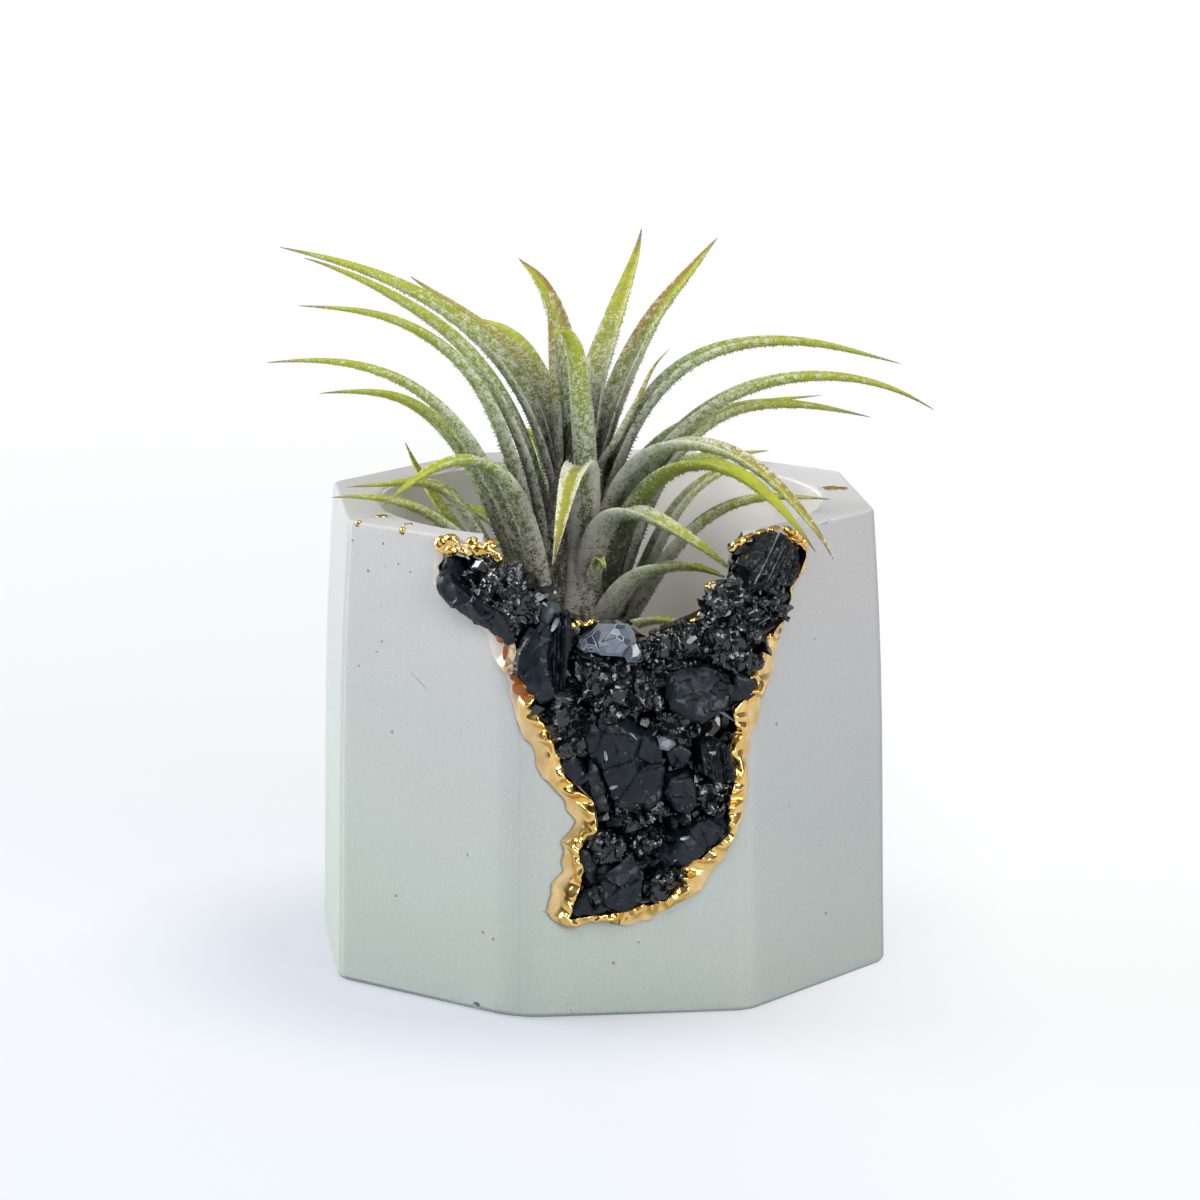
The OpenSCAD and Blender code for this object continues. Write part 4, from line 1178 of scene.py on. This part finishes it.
# Lumps of gold: place across and up, how far they sit into the wall, their size across, deep and
# up, and their turn; those on the rim, then those on the top edge of the resin
nuggetRows = [
    (-20.8, 62.8, -0.3, 2.3, 1.5, 2.1, 15), (-19.5, 63.5, -0.1, 2.2, 1.5, 1.5, -20),
    (-19.8, 62.2, -0.2, 2.3, 1.3, 1.2, 0), (-18.2, 62.4, 0.0, 1.9, 1.1, 1.0, -10),
    (-16.8, 63.5, -0.1, 1.9, 1.5, 1.6, 30), (-15.9, 62.8, -0.2, 1.8, 1.5, 1.9, 60),
    (-17.0, 62.3, 0.0, 1.8, 1.2, 1.1, 10), (-14.8, 62.9, 0.1, 1.9, 1.3, 1.5, -20),
    (-13.7, 62.1, 0.3, 1.7, 1.2, 1.3, -35), (-14.7, 63.7, 0.8, 1.6, 2.2, 0.9, -10),
    (18.5, 63.9, 0.3, 1.9, 1.3, 1.1, 30), (17.7, 63.3, 0.5, 1.6, 1.2, 1.1, 50),
    (20.0, 64.4, 0.4, 1.8, 1.1, 0.6, 15), (21.6, 64.7, 0.3, 1.9, 1.1, 0.5, 5),
    (23.3, 64.7, 0.2, 2.1, 1.2, 0.6, 0), (25.1, 64.0, 0.0, 2.0, 1.2, 0.9, -30),
    (26.5, 63.0, 0.0, 1.9, 1.1, 1.0, -50), (27.4, 61.9, 0.0, 1.4, 0.9, 1.0, -70)]
fleckRows = [
    (-3.6, 53.3, 0.3, 1.0, 1.2, 0.8, 10), (-2.8, 53.6, 0.2, 1.2, 1.2, 0.9, -20),
    (-1.9, 53.4, 0.5, 1.2, 1.2, 0.7, 0), (-1.1, 53.7, 0.4, 1.1, 1.3, 0.7, 30),
    (-0.3, 53.6, 0.9, 0.9, 1.0, 0.5, 0), (6.9, 51.2, 0.4, 1.0, 1.2, 0.8, 30),
    (7.3, 50.7, 0.3, 0.8, 1.0, 1.0, 0), (10.4, 53.0, 0.8, 0.8, 0.9, 0.4, 10),
    (12.5, 53.6, 0.5, 1.3, 1.0, 0.6, 20), (13.4, 54.4, 0.5, 1.2, 1.0, 0.6, 45),
    (14.2, 55.2, 0.7, 1.0, 1.0, 0.5, 50), (14.4, 57.9, 0.8, 0.7, 1.0, 0.8, 0),
    (15.0, 58.5, 0.7, 0.9, 1.0, 0.5, 10)]
# Chips in the front edge of the rim that gold fills
edgeChipRows = [(-32.7, 63.8, 0.35, 0.9, 0.8, 0.6, 0), (-26.5, 63.75, 0.42, 1.2, 0.9, 0.7, 0)]
lumpLook = {"voxel": 0.13, "wrinkle": 0.28, "wrinkleSize": 1.1, "overlap": 1.12, "highest": 63.9,
            "rimVoxel": 0.1, "rimDepth": 0.12, "rimFoldSize": 0.8, "rimRise": 0.08, "rimFold": 0.14}


def finishGold(piece, *nodes):
    relax(piece, 2)
    addFields(piece, "film", "faded")
    shadeSmooth(piece)
    finishPiece(piece, goldLeaf, "pot", "gold", *nodes)


def makeLumps(rows, name, *nodes):
    # Spheres pressed together, skinned over as one, then wrinkled like cooled metal
    look = lumpLook
    ball = newPrimitive("ico_sphere", subdivisions=3, radius=0.5)
    lumps = []
    for x, z, deep, wide, thick, tall, turn in rows:
        over = max(0, z - look["highest"])
        matrix = (wallFrame(x, min(z, look["highest"]), -deep) @ Matrix.Translation((0, 0, over * mm))
                  @ turnOf(-turn, "Y")
                  @ Matrix.Diagonal((wide * look["overlap"] * mm, thick * mm,
                                     tall * look["overlap"] * mm, 1)))
        lumps.append(copyOf(ball, "lump", matrix))
    bpy.data.objects.remove(ball)
    piece = joinPieces(lumps, name)
    skinOver(piece, look["voxel"] * mm)
    for vertex in piece.data.vertices:
        spot = vertex.co / mm / look["wrinkleSize"]
        fold = 0.45 - abs(noise.noise(spot)) - abs(noise.noise(spot * 2.3)) * 0.4
        vertex.co += vertex.normal * fold * look["wrinkle"] * mm
    finishGold(piece, *nodes)


def makeRimGold():
    # Gold in the chips of the rim: a copy of the filled spots, domed and wrinkled
    piece = copyNode("rim_spots", "rimGold")
    look = lumpLook
    skinOver(piece, look["rimVoxel"] * mm)
    for vertex in piece.data.vertices:
        if vertex.co.z > (pot["height"] - look["rimDepth"]) * mm:
            fold = 0.5 - abs(noise.noise(vertex.co / mm / look["rimFoldSize"])) * 2
            vertex.co.z += (look["rimRise"] + look["rimFold"] * fold) * mm
    finishGold(piece, "rim_spots")


# Windows of amber resin where the gold on the left stays open: place across and up, size across
# and up, turn
amberRows = [
    (-10.5, 45.6, 2.1, 2.6, 30), (-9.6, 44.1, 1.9, 1.8, 60), (-11.2, 46.9, 1.2, 1.4, 20),
    (-12.8, 51.9, 1.7, 2.1, 40), (-12.3, 49.9, 0.6, 2.8, 5)]
amberLook = {"stand": 0.32, "thick": 0.85, "voxel": 0.12}


def makeAmber():
    look = amberLook
    drop = newPrimitive("ico_sphere", subdivisions=4, radius=0.5)
    drops = []
    for x, z, wide, tall, turn in amberRows:
        matrix = (wallFrame(x, z, look["stand"]) @ turnOf(turn, "Y")
                  @ Matrix.Diagonal((wide * mm, look["thick"] * mm, tall * mm, 1)))
        drops.append(copyOf(drop, "drop", matrix))
    bpy.data.objects.remove(drop)
    piece = joinPieces(drops, "amberWindows")
    skinOver(piece, look["voxel"] * mm)
    relax(piece, 4)
    shadeSmooth(piece)
    finishPiece(piece, amber, "pot", "resin")


makeGoldRim()
makeLumps(nuggetRows, "goldNuggets", "gold_nuggets")
makeLumps(fleckRows, "goldFlecks", "gold_flecks")
makeLumps(edgeChipRows, "edgeGold")
makeRimGold()
makeAmber()
print("gold laid")


# Stage, camera and light

def makeStage():
    # White paper: its far part shows as plain white to the camera and in what mirrors it; near the pot it
    # keeps the shadow, under a painted shadow ring round the foot that is darkest at the left front, and
    # towards the right it is painted light over the lamp's shadow
    floor = newPrimitive("plane", size=12)
    floor.name = "studioFloor"
    material, tree, shader, place = newMaterial("paperFloor", {"Roughness": 0.7, "Specular IOR Level": 0.1})
    split = addNode(tree, "SeparateXYZ", {}, {"Vector": place})
    far = addNode(tree, "MapRange", {"From Min": -0.12, "From Max": 0.45, "To Min": 0.42},
                  {"Value": split.outputs["Y"]})
    # Painted shadow: the paper turns darker and bluer in a ring round the foot, centred a little to the left
    # front
    nearFoot = addNode(tree, "VectorMath DISTANCE", {1: (-0.010, -0.004, 0)}, {0: place})
    paintedShadowRing = addNode(tree, "MapRange", {"From Min": 0.036, "From Max": 0.066}, {"Value": nearFoot})
    paperWithPaintedShadow = addNode(tree, "ValToRGB", {"stops": [(0, "92a0b3"), (0.6, "b9c1ce"), (1, "c6ccd7")]},
                    {"Fac": paintedShadowRing})
    linkTo(shader, {"Base Color": paperWithPaintedShadow})
    # Painted light: more of the floor shows plain white towards the right of the pot, washing out the lamp's
    # shadow there
    paintedLightRight = addNode(tree, "MapRange", {"From Max": 0.06, "To Max": 0.38}, {"Value": split})
    share = addNode(tree, "Math ADD", {"use_clamp": True}, {0: far, 1: paintedLightRight})
    path = addNode(tree, "LightPath").outputs
    mirrored = addNode(tree, "Math ADD", {}, {0: path["Is Glossy Ray"], 1: path["Is Transmission Ray"]})
    straight = addNode(tree, "Math ADD", {"use_clamp": True}, {0: mirrored, 1: path["Is Camera Ray"]})
    seen = addNode(tree, "Math MULTIPLY", {}, {0: share, 1: straight})
    mixed = addNode(tree, "MixShader", {}, {0: seen, 1: shader, 2: addNode(tree, "Emission")})
    linkTo(tree.nodes["Material Output"], {"Surface": mixed})
    floor.data.materials.append(material)


def makeRoom():  # a dim room with a bright ceiling
    world = bpy.data.worlds.new("softStudio")
    bpy.context.scene.world = world
    world.use_nodes = True
    tree = world.node_tree
    way = addNode(tree, "TexCoord").outputs["Generated"]
    split = addNode(tree, "SeparateXYZ", {}, {"Vector": way}).outputs
    tent = addNode(tree, "ValToRGB", {"stops": [
        (0, "8c8e92"), (0.15, "a6a8ac"), (0.5, "dcdee2"), (0.8, "ffffff")]}, {"Fac": split["Z"]})
    front = addNode(tree, "MapRange", {"From Min": -0.9, "From Max": 0.2, "To Min": 0.3},
                    {"Value": split["Y"]})
    room = addNode(tree, "Mix", {"blend_type": "MULTIPLY", 0: 1.0}, {6: tent, 7: front})
    background = tree.nodes["Background"]
    background.inputs["Strength"].default_value = 0.55
    linkTo(background, {"Color": room})


def addLamp(name, place, size, watts):
    lamp = bpy.data.lights.new(name, "AREA")
    lamp.size, lamp.energy = size, watts
    holder = bpy.data.objects.new(name, lamp)
    bpy.context.scene.collection.objects.link(holder)
    holder.location = place
    aim = Vector((0, 0, 0.04))
    holder.rotation_euler = (aim - Vector(place)).to_track_quat("-Z", "Y").to_euler()


makeStage()
makeRoom()
addLamp("leftWindow", (-0.9, 0.25, 0.45), 0.6, 12.8)
addLamp("rightFill", (0.5, -0.75, 0.35), 0.45, 5.4)
addLamp("frontSoft", (-0.15, -0.6, 0.75), 0.5, 3.2)
addLamp("ceiling", (0, 0.05, 0.9), 0.5, 1.0)

camera = bpy.data.objects.new("photoCamera", bpy.data.cameras.new("photoCamera"))
bpy.context.scene.collection.objects.link(camera)
camera.location = (0, -0.688, 0.191)
camera.rotation_euler = (math.radians(90 - 11.65), 0, 0)
camera.data.sensor_width = 36
camera.data.lens = 151.5
camera.data.clip_start = 0.01
bpy.context.scene.camera = camera
bpy.context.scene.view_settings.view_transform = "Standard"
